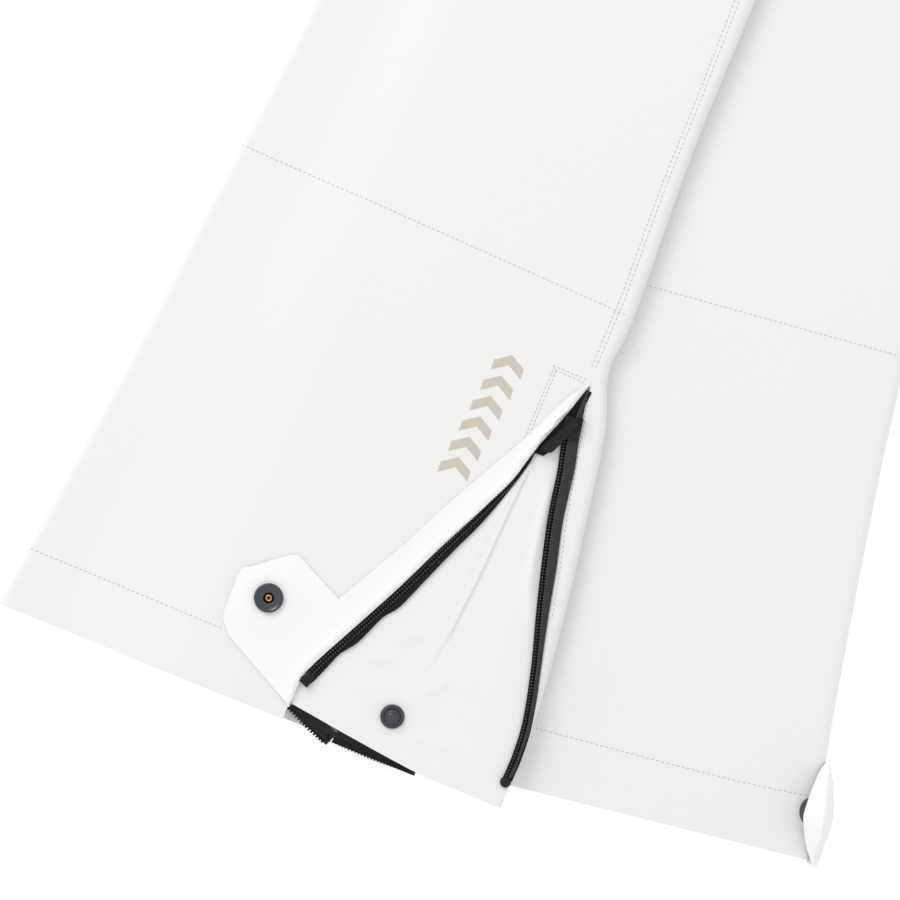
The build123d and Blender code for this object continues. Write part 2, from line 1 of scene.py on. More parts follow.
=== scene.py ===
"""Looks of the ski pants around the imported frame.

Lengths are millimetres in the row frame until a mesh is made.
"""

from math import cos, pi, radians, sin

import bpy
import numpy as np
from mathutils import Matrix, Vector, noise
from mathutils.bvhtree import BVHTree
from mathutils.geometry import delaunay_2d_cdt


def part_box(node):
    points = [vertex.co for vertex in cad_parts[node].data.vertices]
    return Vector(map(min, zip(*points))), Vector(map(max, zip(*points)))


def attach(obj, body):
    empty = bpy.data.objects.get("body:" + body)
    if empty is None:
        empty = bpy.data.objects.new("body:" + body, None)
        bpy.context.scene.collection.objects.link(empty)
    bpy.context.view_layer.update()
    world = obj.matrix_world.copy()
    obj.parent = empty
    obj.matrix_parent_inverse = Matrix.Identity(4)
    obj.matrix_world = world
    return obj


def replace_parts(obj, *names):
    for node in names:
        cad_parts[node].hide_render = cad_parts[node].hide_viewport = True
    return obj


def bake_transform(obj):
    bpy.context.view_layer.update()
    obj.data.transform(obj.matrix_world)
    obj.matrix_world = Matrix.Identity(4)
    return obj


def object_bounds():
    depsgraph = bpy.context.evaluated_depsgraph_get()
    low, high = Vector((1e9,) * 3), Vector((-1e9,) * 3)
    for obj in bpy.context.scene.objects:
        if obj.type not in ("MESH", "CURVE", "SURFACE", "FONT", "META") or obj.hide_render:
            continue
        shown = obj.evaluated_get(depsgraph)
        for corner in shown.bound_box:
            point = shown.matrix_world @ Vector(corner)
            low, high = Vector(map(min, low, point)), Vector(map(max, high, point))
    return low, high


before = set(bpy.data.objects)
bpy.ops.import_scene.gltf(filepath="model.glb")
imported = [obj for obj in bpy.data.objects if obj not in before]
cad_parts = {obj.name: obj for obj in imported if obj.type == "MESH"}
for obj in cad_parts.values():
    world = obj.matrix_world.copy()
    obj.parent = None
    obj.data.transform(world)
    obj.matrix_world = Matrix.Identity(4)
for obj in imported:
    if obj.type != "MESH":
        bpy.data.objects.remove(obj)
cad_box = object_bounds()

MM = 0.001
scene = bpy.context.scene
scene.view_settings.view_transform = "Standard"


# ---------------------------------------------------------------- what the frame says
def cad(node):
    """A CAD node's box in millimetres: lowest corner, highest corner."""
    low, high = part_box(node)
    return np.array(low) / MM, np.array(high) / MM


FLOOR_LEG_TOP = cad("right_calf_panel")[1][2]  # top of the leg below
LEG_TOP = cad("left_shin_panel")[1][2]  # top of the leg above
UPPER = cad("left_calf_panel")[1][2] - 1.0
WAIST_SEAM, WAIST_TOP = cad("waistband")[0][1], cad("waistband")[1][1]
THICK = FLOOR_LEG_TOP
CLOTH = 1.0
SHARP = radians(50)
EDGE_R = 5  # radius of a leg's folded outer edge

# Rows across each leg, from hem to waist: left point, right point, x where the cloth starts down to the
# floor, x where it reaches it, height of the left edge, radius of the left fold, and how far the inner
# layers stop short of it.
LEFT_ROWS = [
    (-204.5, -503.5, 74, -517, -95, -175, 0, 5, 0),
    (-196, -452, 76, -466, -92, -168, 0, 5, 0),
    (-187.5, -400, 73, -414, -90, -160, 0, 5, 0),
    (-179, -349, 67.5, -361, -88, -154, 0, 5, 0),
    (-173, -305, 62, -318.5, -86, -148, 0, 5, 0),
    (-169, -276, 54, -289, -85, -142, 0, 5, 0),
    (-163.2, -240, 57, -259, -82, -136, 0, 5, 0),
    (-152, -160, 58, -170, -76, -124, 0, 5, 0),
    (-148, -90, 62, -100, -74, -120, 0, 5, 0),
    (-160, -20, 66, -25, -92, -130, 0, 5, 0),
    (-180, 60, 68, 60, -125, -160, 0, 5, 0),
    (-202, 150, 72, 150, -155, -188, 0, 5, 0),
    (-219, 232, 75, 240, -176, -206, 0, 5, 0),
    (-206, 268, 76, 272, -178, -200, 4.5, 6.5, 2),
    (-181, 300, 77, 300, -166, -172, 10, 9.5, 12),
    (-150, 380, 82, 380, -130, -136, 10, 9.5, 20),
    (-118, 478, 85, 478, -98, -104, 10, 9.5, 20),
]
RIGHT_ROWS = [
    (-6, -513, 233.4, -492.6, 0, 0, 0, 5, 0),
    (-14, -412, 218.4, -403, 0, 0, 0, 5, 0),
    (-23, -303, 203, -293, 0, 0, 0, 5, 0),
    (-27, -246, 196, -233, 0, 0, 0, 5, 0),
    (-42, -100, 176, -90, 0, 0, 0, 5, 0),
    (-95, 60, 150, 75, 0, 0, 0, 5, 0),
    (-132, 155, 136, 168, 0, 0, 0, 5, 0),
    (-158, 235, 123, 245, 0, 0, 0, 5, 0),
    (-168, 275, 116, 277, 0, 0, 0, 7, 2),
    (-180, 300, 112, 300, 0, 0, 0, 9.5, 12),
    (-150, 380, 98, 380, 0, 0, 0, 9.5, 20),
    (-118, 478, 85, 478, 0, 0, 0, 9.5, 20),
]
CROSS_SEAM = {"left": 6, "right": 3}


class Leg:
    """A flattened leg: its two layers as functions of the row and the distance from the left edge."""

    def __init__(self, rows, level):
        self.rows = np.array(rows, float)
        self.level = level

    def row(self, t):
        """The row at t, counted in table rows, through a smooth curve."""
        count = len(self.rows)
        i = int(min(max(t, 0), count - 1.0001))
        s = t - i
        a, b = self.rows[i], self.rows[i + 1]
        before = self.rows[i - 1] if i else 2 * a - b
        after = self.rows[i + 2] if i + 2 < count else 2 * b - a
        cubic = 0.5 * (2 * a + (b - before) * s + (2 * before - 5 * a + 4 * b - after) * s * s
                       + (3 * a - before - 3 * b + after) * s ** 3)
        straight = a + (b - a) * s
        return np.concatenate([cubic[:4], straight[4:]])

    def fall(self, row, x):
        """How far below its level the leg's underside is at x."""
        start, end, edge = row[4], row[5], row[6]
        if not self.level or start <= end:
            return 0.0
        s = min(max((start - x) / (start - end), 0), 1)
        return (self.level - edge) * s * s * (3 - 2 * s)

    def point(self, row, d, upper, thin=0.0):
        """The outer face of a layer, d from the leg's left edge."""
        left, right = row[0:2], row[2:4]
        width = np.hypot(*(right - left))
        x, y = left + (right - left) * d / width
        base = self.level - self.fall(row, x)
        middle = base + THICK / 2
        outer = base + THICK - thin if upper else base + thin
        radius = row[7] if upper == bool(self.level) or row[8] < 1 else 0
        big = row[8] / 20
        middle_left = middle * (1 - big) + 10.2 * big
        z = outer
        if radius and d < radius:
            z = middle_left + (outer - middle_left) * (1 - (1 - d / radius) ** 2) ** 0.5
        if width - d < EDGE_R:
            z = middle + (outer - middle) * (1 - (1 - (width - d) / EDGE_R) ** 2) ** 0.5
        return np.array([x, y, z])


legs = {"left": Leg(LEFT_ROWS, UPPER), "right": Leg(RIGHT_ROWS, 0.0)}


def ease(radius, count=6):
    """Distances from an edge that step evenly round a fold."""
    return [radius * (1 - cos(k * pi / 2 / count)) for k in range(count)]


def spaced(start, end, count):
    return [start + (end - start) * k / (count - 1) for k in range(count)]


# ---------------------------------------------------------------- meshes
def mesh_object(name, points, faces, finish, body, smooth=None):
    data = bpy.data.meshes.new(name)
    data.from_pydata((np.array(points, float) * MM).tolist(), [], faces)
    data.polygons.foreach_set("use_smooth", smooth if smooth is not None else [True] * len(faces))
    data.update()
    obj = bpy.data.objects.new(name, data)
    scene.collection.objects.link(obj)
    obj.data.materials.append(finish)
    if body:
        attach(obj, body)
    return obj


def closed_cloth(name, points, faces, finish, body, thickness=CLOTH):
    """A cloth piece from its outer face; its thickness goes in behind the face."""
    points = np.array(points, float)
    faces = [tuple(int(k) for k in f) for f in faces]
    normals = np.zeros_like(points)
    for f in faces:
        first, last = (f[2], f[0]), (f[3], f[1]) if len(f) == 4 else (f[2], f[1])
        across = np.cross(points[first[0]] - points[first[1]], points[last[0]] - points[last[1]])
        for k in f:
            normals[k] += across
    normals /= np.maximum(np.linalg.norm(normals, axis=1, keepdims=True), 1e-9)
    count = len(points)
    edges = {(a, b) for f in faces for a, b in zip(f, f[1:] + f[:1])}
    rim = [(b, a, a + count, b + count) for a, b in sorted(edges) if (b, a) not in edges]
    back = [tuple(k + count for k in f[::-1]) for f in faces]
    smooth = [True] * (2 * len(faces)) + [False] * len(rim)
    every = np.vstack([points, points - normals * thickness])
    obj = mesh_object(name, every, faces + back + rim, finish, body, smooth)
    obj.data.set_sharp_from_angle(angle=SHARP)
    return obj


def grid_faces(rows, columns, closed=False):
    """Faces between the rows of a grid, whose columns may go all the way round."""
    last = columns if closed else columns - 1
    faces = []
    for start in range(0, (rows - 1) * columns, columns):
        for c in range(last):
            after = (c + 1) % columns
            faces.append((start + c, start + after, start + columns + after, start + columns + c))
    return faces


def grid_cloth(name, grid, finish, body, thickness=CLOTH, flip=False, closed=False):
    grid = np.array(grid, float)
    rows, columns = grid.shape[:2]
    faces = grid_faces(rows, columns, closed)
    if flip:
        faces = [f[::-1] for f in faces]
    return closed_cloth(name, grid.reshape(-1, 3), faces, finish, body, thickness)


def joined(name, shapes, finish, body, smooth=True):
    """One object of many small shapes, each given as points and faces."""
    points, faces = [], []
    for shape_points, shape_faces in shapes:
        faces += [tuple(k + len(points) for k in f) for f in shape_faces]
        points += [tuple(p) for p in shape_points]
    return mesh_object(name, points, faces, finish, body, [smooth] * len(faces))


def declared(obj, width, length, share=1.0):
    """Returns the sheet as it is; its flat size in millimetres and the share of that rectangle it fills are
    not used.
    """
    return obj


def curve(points, count):
    """Evenly spaced points on a smooth line through the given ones."""
    points = np.array([(*p, 0) if len(p) == 2 else p for p in points], float)
    dense = []
    for i in range(len(points) - 1):
        a, b = points[i], points[i + 1]
        before = points[i - 1] if i else 2 * a - b
        after = points[i + 2] if i + 2 < len(points) else 2 * b - a
        for s in np.arange(0, 1, 1 / 24):
            dense.append(0.5 * (2 * a + (b - before) * s + (2 * before - 5 * a + 4 * b - after) * s * s
                                + (3 * a - before - 3 * b + after) * s ** 3))
    dense = np.array(dense + [points[-1]])
    run = np.concatenate([[0], np.cumsum(np.linalg.norm(np.diff(dense, axis=0), axis=1))])
    marks = np.linspace(0, run[-1], count)
    return np.stack([np.interp(marks, run, dense[:, k]) for k in range(3)], 1)


def length_of(line):
    return float(np.linalg.norm(np.diff(np.array(line, float)[:, :2], axis=0), axis=1).sum())


def spots_on(line, pitch, extra=0):
    """Points that share a line out evenly, about a pitch apart."""
    count = int(length_of(line) / pitch) + extra
    marks = np.linspace(0, len(line) - 1, count)
    return np.stack([np.interp(marks, range(len(line)), line[:, k]) for k in (0, 1)], 1)


def x_on(line, y):
    """x of a line at y, held at its ends."""
    order = np.argsort(line[:, 1])
    return float(np.interp(y, line[order, 1], line[order, 0]))


def off_line(x, y, line):
    """Distance of points from a line of points, and how far along it each is, from 0 to 1."""
    x, y = np.atleast_1d(np.array(x, float)), np.atleast_1d(np.array(y, float))
    best, along = np.full(len(x), 1e9), np.zeros(len(x))
    for i in range(len(line) - 1):
        a, d = line[i][:2], line[i + 1][:2] - line[i][:2]
        t = np.clip(((x - a[0]) * d[0] + (y - a[1]) * d[1]) / max(d @ d, 1e-12), 0, 1)
        gap = np.hypot(x - a[0] - t * d[0], y - a[1] - t * d[1])
        nearer = gap < best
        best = np.where(nearer, gap, best)
        along = np.where(nearer, (i + t) / (len(line) - 1), along)
    return best, along


def within(x, y, outline):
    """Whether points are inside an outline."""
    inside = np.zeros(len(x), bool)
    for (ax, ay), (bx, by) in zip(outline, np.roll(outline, -1, 0)):
        crosses = (ay > y) != (by > y)
        at = ax + (y - ay) * (bx - ax) / (by - ay if by != ay else 1e-9)
        inside ^= crosses & (x < at)
    return inside


def patch(name, outline, height, finish, body, thickness=0.6, step=2.5, folds=()):
    """A cloth piece over a flat outline; height gives its outer face's z for arrays of x and y.

    The mesh follows the folds, which are lines of points.
    """
    outline = np.array(outline, float)
    edge = []
    for a, b in zip(outline, np.roll(outline, -1, 0)):
        count = max(int(np.hypot(*(b - a)) / step), 1)
        edge += [a + (b - a) * k / count for k in range(count)]
    low, high = outline.min(0), outline.max(0)
    rows = np.arange(low[1], high[1], step * 0.87)
    columns = np.arange(low[0], high[0], step)
    inner = [(x + step / 2 * (i % 2), y) for i, y in enumerate(rows) for x in columns]
    inner = np.array(inner).reshape(-1, 2)
    ring = np.array(edge + [edge[0]])
    if len(inner):
        keep = within(inner[:, 0], inner[:, 1], outline)
        keep &= off_line(inner[:, 0], inner[:, 1], ring)[0] > step * 0.45
        for line in folds:
            keep &= off_line(inner[:, 0], inner[:, 1], line)[0] > step * 0.6
        inner = inner[keep]
    flat = [Vector(p) for p in edge] + [Vector(p) for p in inner]
    rim = [(k, (k + 1) % len(edge)) for k in range(len(edge))]
    for line in folds:
        rim += [(len(flat) + k, len(flat) + k + 1) for k in range(len(line) - 1)]
        flat += [Vector(p[:2]) for p in line]
    made, _, triangles, *_ = delaunay_2d_cdt(flat, rim, [], 1, 1e-5)
    x, y = np.array([p[0] for p in made]), np.array([p[1] for p in made])
    points = np.stack([x, y, height(x, y)], 1)
    return closed_cloth(name, points, triangles, finish, body, thickness)


def ribbon(name, left, right, finish, body, crown=0.0, thickness=0.5, columns=5):
    """A strip between two lines of points with heights; crown lifts its middle."""
    shares = np.linspace(0, 1, columns)
    lift = [np.array([0, 0, crown * 4 * s * (1 - s)]) for s in shares]
    grid = [[a + (b - a) * s + up for s, up in zip(shares, lift)] for a, b in zip(left, right)]
    return grid_cloth(name, grid, finish, body, thickness)


def block(centre, along, size, round_by=0.25):
    """A small block with softened edges; size is its length along a direction, its width and its height."""
    along = np.array([along[0], along[1], 0.0]) / max(np.hypot(along[0], along[1]), 1e-9)
    across, up = np.array([-along[1], along[0], 0]), np.array([0, 0, 1.0])
    points = []
    for share, height in ((1, 0), (1, 0.62), (1 - round_by, 1)):
        for a, b in ((-1, -1), (1, -1), (1, 1), (-1, 1)):
            points.append(np.array(centre) + along * a * size[0] / 2 * share
                          + across * b * size[1] / 2 * share + up * size[2] * height)
    faces = [(3, 2, 1, 0), (8, 9, 10, 11)]
    faces += [(r + k, r + (k + 1) % 4, r + 4 + (k + 1) % 4, r + 4 + k) for r in (0, 4) for k in range(4)]
    return points, faces


def lathe(name, centre, profile, finish, body, segments=48):
    """A turned piece: profile gives (radius, height) pairs from the middle outwards and round."""
    grid = [[(r * cos(2 * pi * k / segments), r * sin(2 * pi * k / segments), z) for k in range(segments)]
            for r, z in profile]
    points = np.array(grid).reshape(-1, 3)
    faces = grid_faces(len(profile), segments, closed=True)
    return mesh_object(name, points + np.array(centre), [f[::-1] for f in faces], finish, body)


def ground_of(*objects):
    """A tree to find the cloth's outer faces with."""
    points, faces = [], []
    for obj in objects:
        start = len(points)
        points += [v.co / MM for v in obj.data.vertices]
        faces += [[start + k for k in p.vertices] for p in obj.data.polygons]
    return BVHTree.FromPolygons(points, faces)


def land(ground, x, y, up=True):
    """The z of the ground seen from above, or from below."""
    start, way = (80, -1) if up else (-80, 1)
    hit = ground.ray_cast(Vector((x, y, start)), Vector((0, 0, way)))[0]
    return hit.z if hit else None


THREAD_WIDE = 0.42
COARSE = 40  # a stitched line with fewer points than this is rounded first


def stitches(name, ground, lines, body="pants", pitch=2.65, long=1.45, up=True):
    """Rows of single stitches along lines, each lying in the cloth's face; their thread is darkened to paint
    the shade of the stitch dimples.
    """
    shapes = []
    for line in lines:
        line = np.array(line, float)
        if len(line) < COARSE:
            line = curve([tuple(p[:2]) for p in line], 200)
        spots = spots_on(line, pitch, 1)
        for a, b in zip(spots, spots[1:]):
            z = land(ground, *a, up)
            if z is None:
                continue
            side = 1 if up else -1
            points, faces = block((a[0], a[1], z - 0.06 * side), b - a, (long, THREAD_WIDE, 0.2 * side), 0.4)
            shapes.append((points, faces if up else [f[::-1] for f in faces]))
    return joined(name, shapes, THREAD_AND_DIMPLE_SHADE, body)


# ---------------------------------------------------------------- materials
def material(name, colour, rough=0.8, metallic=0.0, sheen=0.0, weave=0.0, pitch=0.8, spread=0.0, shine=0.5):
    """A procedural finish; weave is the depth in millimetres of a woven bump of that pitch."""
    mat = bpy.data.materials.new(name)
    mat.use_nodes = True
    nodes, links = mat.node_tree.nodes, mat.node_tree.links
    shader = nodes["Principled BSDF"]
    values = {"Base Color": (*colour, 1), "Roughness": rough, "Metallic": metallic, "Sheen Weight": sheen,
              "Specular IOR Level": shine}
    for key, value in values.items():
        shader.inputs[key].default_value = value
    place = nodes.new("ShaderNodeTexCoord")
    grain = nodes.new("ShaderNodeTexNoise")
    grain.inputs["Scale"].default_value = 14
    grain.inputs["Detail"].default_value = 3
    links.new(place.outputs["Object"], grain.inputs["Vector"])
    if spread:
        ramp = nodes.new("ShaderNodeMix")
        ramp.data_type = "RGBA"
        ramp.inputs["A"].default_value = (*[c * (1 - spread) for c in colour], 1)
        ramp.inputs["B"].default_value = (*[min(1, c * (1 + spread)) for c in colour], 1)
        links.new(grain.outputs["Fac"], ramp.inputs["Factor"])
        links.new(ramp.outputs["Result"], shader.inputs["Base Color"])
    if weave:
        heights = []
        for turn in (0, 1):
            turned = nodes.new("ShaderNodeMapping")
            turned.inputs["Rotation"].default_value = (0, 0, radians(45 + 90 * turn))
            links.new(place.outputs["Object"], turned.inputs["Vector"])
            thread = nodes.new("ShaderNodeTexWave")
            thread.inputs["Scale"].default_value = 1 / (pitch * MM) / 3.14
            thread.inputs["Distortion"].default_value = 0.6
            thread.inputs["Detail"].default_value = 1
            links.new(turned.outputs["Vector"], thread.inputs["Vector"])
            heights.append(thread.outputs["Fac"])
        both = nodes.new("ShaderNodeMath")
        both.operation = "ADD"
        links.new(heights[0], both.inputs[0])
        links.new(heights[1], both.inputs[1])
        bump = nodes.new("ShaderNodeBump")
        bump.inputs["Strength"].default_value = 0.35
        bump.inputs["Distance"].default_value = weave * MM
        links.new(both.outputs["Value"], bump.inputs["Height"])
        links.new(bump.outputs["Normal"], shader.inputs["Normal"])
    return mat


SHELL = material("shell", (0.79, 0.788, 0.786), 0.85, sheen=0.1, weave=0.05, pitch=0.9, spread=0.006)
SHELL_IN = material("shell_inner", (0.865, 0.865, 0.868), 0.9, sheen=0.05, weave=0.06, pitch=0.7,
                    spread=0.006)
GUSSET = material("gusset_cloth", (0.80, 0.797, 0.797), 0.9, weave=0.03, pitch=0.5, spread=0.006)
LINING = material("gaiter_cloth", (0.75, 0.75, 0.76), 0.8, weave=0.03, pitch=0.6, spread=0.02)
TAPE = material("zip_tape", (0.010, 0.010, 0.011), 0.8, weave=0.1, pitch=0.7, spread=0.1, shine=0.2)
LAMINATE = material("laminated_tape", (0.014, 0.014, 0.015), 0.42, spread=0.08, shine=0.45)
TEETH = material("moulded_teeth", (0.005, 0.005, 0.006), 0.35, spread=0.1, shine=0.3)
# Grey of the dots that paint highlights on the zip teeth.
TEETH_HIGHLIGHT_PAINT = material("painted_teeth_highlight", (0.10, 0.10, 0.105), 0.6, spread=0.1)
GUNMETAL = material("gunmetal", (0.075, 0.08, 0.09), 0.3, metallic=0.85, spread=0.25)
DARK_METAL = material("dark_metal", (0.012, 0.012, 0.013), 0.4, metallic=0.3, spread=0.2, shine=0.3)
BRASS = material("spring_brass", (0.72, 0.42, 0.10), 0.35, metallic=0.9, spread=0.1)
# Stitch thread, darker than the cloth to paint the shade of the dimples the stitches make.
THREAD_AND_DIMPLE_SHADE = material("thread", (0.50, 0.50, 0.50), 0.9, spread=0.05)
PRINT = material("print_ink", (0.56, 0.525, 0.445), 0.8, weave=0.03, pitch=0.9, spread=0.03)
ELASTIC = material("elastic", (0.05, 0.05, 0.05), 0.8, weave=0.2, pitch=1.4, spread=0.1)


# ---------------------------------------------------------------- the open zip's lines, as they lie
FOLD_LINE = [(46.7, -299), (40.1, -317.5), (32.9, -334.8), (29.1, -345.7), (24.7, -358.9), (15.2, -377.4),
             (0.9, -403.6), (-11.4, -427.8), (-26.4, -454.7), (-40.3, -479.6), (-43.7, -489.5), (-45, -502.5)]
FRONT_TAPE = [(31, -345.1), (26.8, -358.9), (17.8, -382.7), (8.9, -400.9), (-0.2, -420.5), (-8.1, -437.5),
              (-14.7, -445.8), (-22.4, -461.5), (-29.1, -470), (-32.3, -476.7), (-36.5, -486), (-40, -492)]
BACK_TEETH = [(45.9, -302), (44.6, -313), (44.6, -330), (47.4, -346), (50.4, -369), (55.8, -396),
              (61.3, -420), (67.6, -446), (72.2, -472), (72.9, -489), (72, -503)]
BACK_TAPE = [(46.3, -300), (48.2, -314), (50.6, -328.2), (53.4, -343.6), (56.1, -368.6), (61, -393.9),
             (65.2, -419.4), (70.1, -445.2), (73.4, -462), (74.6, -478), (74.2, -500)]
fold_line, back_line, back_tape = curve(FOLD_LINE, 160), curve(BACK_TEETH, 160), curve(BACK_TAPE, 120)
SEAM_IN = 10.5  # the side seam lies this far in from the folded edge, on the front
ZIP_TOP, OPENS_OVER = -299.0, 12  # the zip's upper end, and the length over which its sides part
PANEL_COLUMNS_LONG = 240  # a panel's width, shared out into its columns


# ---------------------------------------------------------------- the legs' cloth
def settle(grid, seed):
    """The slight unevenness of laid cloth."""
    for r in range(grid.shape[0]):
        for c in range(grid.shape[1]):
            x, y, z = grid[r, c]
            spot = Vector((x / 70, y / 95, seed))
            grid[r, c, 2] = max(z + 0.22 * noise.noise(spot), 0.02)
    return grid


def leg_panels(side):
    """The four cloth panels of a leg: names, front grid, back grid.  The left one's zip is open."""
    leg, left = legs[side], side == "left"
    parts = (("lower", 0, CROSS_SEAM[side], 3.0), ("upper", CROSS_SEAM[side], len(leg.rows) - 1, 6.0))
    for part, low, high, step in parts:
        long = sum(np.hypot(*(leg.row(k + 1)[:2] - leg.row(k)[:2])) for k in range(low, high))
        columns = int(PANEL_COLUMNS_LONG / step)
        front, back = [], []
        for t in spaced(low, high, int(long / step)):
            row = leg.row(t)
            wide = np.hypot(*(row[2:4] - row[0:2]))
            seam = wide - SEAM_IN
            slope = (row[3] - row[1]) / (row[2] - row[0])
            d_front = d_back = seam
            y_seam = row[3] - slope * SEAM_IN
            if left and y_seam < ZIP_TOP:
                per_x = wide / (row[2] - row[0])
                opened = [(x_on(line, y_seam + 3) + shift - row[0]) * per_x
                          for line, shift in ((fold_line, -0.8), (back_tape, -1.2))]
                share = min((ZIP_TOP - y_seam) / OPENS_OVER, 1)
                d_front = seam + (opened[0] - seam) * share
                d_back = min(seam + (opened[1] - seam) * share, wide - 2.5)
            radius, inset = max(row[7], 1), row[8]
            turn_at = max(wide - EDGE_R, d_back + 0.4)
            turn = [wide - (wide - turn_at) * v / 5 for v in ease(5)[::-1]]
            end = radius if inset < 1 else inset + 6
            close = [inset + (end - inset) * v / radius for v in ease(radius)[::-1]]
            if inset < 1:
                close = ease(radius)[::-1]
            top = ease(radius) + spaced(radius, d_front, columns)
            strip = spaced(d_back, turn_at, 5)[:-1] + [turn_at] + turn
            under = turn[::-1][1:] + spaced(turn_at, end, columns) + close
            if left:
                front.append([leg.point(row, d, True) for d in top])
                back.append([leg.point(row, d, True) for d in strip]
                            + [leg.point(row, d, False) for d in under])
            else:
                front.append([leg.point(row, d, False) for d in top + strip[1:]])
                back.append([leg.point(row, d, True) for d in under[::-1]])
        names = {"lower": ("shin", "calf"), "upper": ("front", "back")}[part]
        yield [f"{side}_{n}_cloth" for n in names], np.array(front), np.array(back)


sheets = {}
for side in ("left", "right"):
    for (front_name, back_name), front, back in leg_panels(side):
        below = side == "right"
        sheets[front_name] = grid_cloth(front_name, settle(front, 1), SHELL, "pants", flip=below)
        sheets[back_name] = grid_cloth(back_name, settle(back, 2), SHELL, "pants")


WELL_END, WELL_SIDE, CUT_DEEP = 3.5, 3.2, 9


def cut_slot(obj, node):
    """Cuts the opening of a closed zip into its panel, as wide as the CAD tape's well, less its walls."""
    low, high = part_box(node)
    points = np.array([v.co for v in bpy.data.objects[node].data.vertices]) / MM
    flat = points[:, :2] - points[:, :2].mean(0)
    along = np.linalg.eigh(flat.T @ flat)[1][:, -1]
    across = np.array([-along[1], along[0]])
    long, wide = np.ptp(flat @ along) / 2 - WELL_END, np.ptp(flat @ across) / 2 - WELL_SIDE
    centre = points[:, :2].mean(0) + along * ((flat @ along).max() + (flat @ along).min()) / 2
    centre = centre + across * ((flat @ across).max() + (flat @ across).min()) / 2
    corners = [centre + along * a * long + across * b * wide for a, b in ((-1, -1), (1, -1), (1, 1), (-1, 1))]
    middle = (low[2] + high[2]) / 2 / MM
    bottom, top = (middle, middle + CUT_DEEP) if middle > 8 else (middle - CUT_DEEP, middle)
    points = [(*c, bottom) for c in corners] + [(*c, top) for c in corners]
    faces = [(3, 2, 1, 0), (4, 5, 6, 7)] + [(k, (k + 1) % 4, 4 + (k + 1) % 4, 4 + k) for k in range(4)]
    (ax, ay), (bx, by) = corners[1] - corners[0], corners[3] - corners[0]
    if ax * by < ay * bx:
        faces = [f[::-1] for f in faces]
    cutter = mesh_object("cutter", points, faces, SHELL, None)
    change = obj.modifiers.new("slot", "BOOLEAN")
    change.operation, change.solver, change.object = "DIFFERENCE", "EXACT", cutter
    made = bpy.data.meshes.new_from_object(obj.evaluated_get(bpy.context.evaluated_depsgraph_get()))
    obj.modifiers.clear()
    obj.data = made
    made.set_sharp_from_angle(angle=SHARP)
    bpy.data.objects.remove(cutter)
    return centre, along, long


ZIPS = {"fly": "left_front", "left_pocket": "left_front", "right_pocket": "right_front",
        "right_zip": "right_shin"}
slots = {name: cut_slot(sheets[f"{panel}_cloth"], f"{name}_tape") for name, panel in ZIPS.items()}

STANDS_FOR = {
    "left_shin": ("left_shin_panel", "left_inseam"), "left_calf": ("left_calf_panel", "left_outseam"),
    "left_front": ("left_front_panel", "centre_front_seam"), "left_back": ("left_back_panel",),
    "right_shin": ("right_shin_panel", "right_inseam"), "right_calf": ("right_calf_panel", "right_outseam"),
    "right_front": ("right_front_panel",), "right_back": ("right_back_panel",),
}
for name, nodes in STANDS_FOR.items():
    obj = sheets[f"{name}_cloth"]
    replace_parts(obj, *nodes)
    lower = name.endswith(("shin", "calf"))
    wide, long = (276, 262) if lower else (296, 738)
    share = {"left_shin": 0.74, "right_shin": 0.86, "left_calf": 0.9, "right_calf": 0.82}.get(name, 0.74)
    declared(obj, wide, long, share)

left_ground = ground_of(*[sheets[f"left_{n}_cloth"] for n in ("shin", "front", "back", "calf")])
right_ground = ground_of(*[sheets[f"right_{n}_cloth"] for n in ("shin", "front", "back", "calf")])


def fold_strip(name, fold_x, profile, thickness):
    """A narrow cloth inside a fold, whose x is given for some y; profile gives (distance in, z) pairs."""
    rows = [[(x + push, y, z) for push, z in profile] for y, x in sorted(fold_x.items())]
    made = grid_cloth(name, rows, SHELL, "pants", thickness, flip=True)
    return made


front_join = fold_strip("centre_front_cloth", {474: -119, 380: -150, 300: -181},
                        ((4.0, 14.6), (0.9, 11.4), (0.7, 10.0), (0.9, 8.6), (4.0, 5.4)), 0.4)
declared(front_join, 12, 184)
seat_join = fold_strip("centre_back_cloth", {480: -98, 380: -130, 310: -156},
                       ((4, 11.2), (0, 11.0), (-1.2, 10.2), (0, 9.4), (4, 9.2)), 0.5)
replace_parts(seat_join, "centre_back_seam")
declared(seat_join, 10, 178)

# ---------------------------------------------------------------- topstitching
SIDE_STITCH = [(52.7, -89.3), (50.8, -138.5), (48.1, -193.4), (47.2, -247.4), (46.2, -263), (44.4, -291.8)]
side_up = [(64, 470), (62, 300), (55, 120), (54, 0), (53.4, -60)] + SIDE_STITCH
left_lines = [
    side_up, [(x + 2.2, y) for x, y in side_up],
    [(-161, -240.4), (54, -259.4)], [(-196, -471.5), (-88.6, -477.6)],
    [(47.5, -301.4), (52.6, -334), (58, -367.9), (63, -393.2), (67.4, -418.6)],
    [(-88, 474), (-118, 372), (-129, 341), (-139, 332)], [(66.5, 468), (60, 306)],
]
stitches("left_topstitch", left_ground, left_lines)
right_lines = [
    [(60, -240.9), (192.5, -233)], [(75.4, -474.2), (130, -470.4), (186.2, -465.8), (222.6, -461.2)],
]
stitches("right_topstitch", right_ground, right_lines)
under_lines = [[(-8, -482), (222, -462)], [(-24, -250), (190, -237)], [(-14, -480), (-34, -260)]]
stitches("under_topstitch", right_ground, under_lines, up=False)

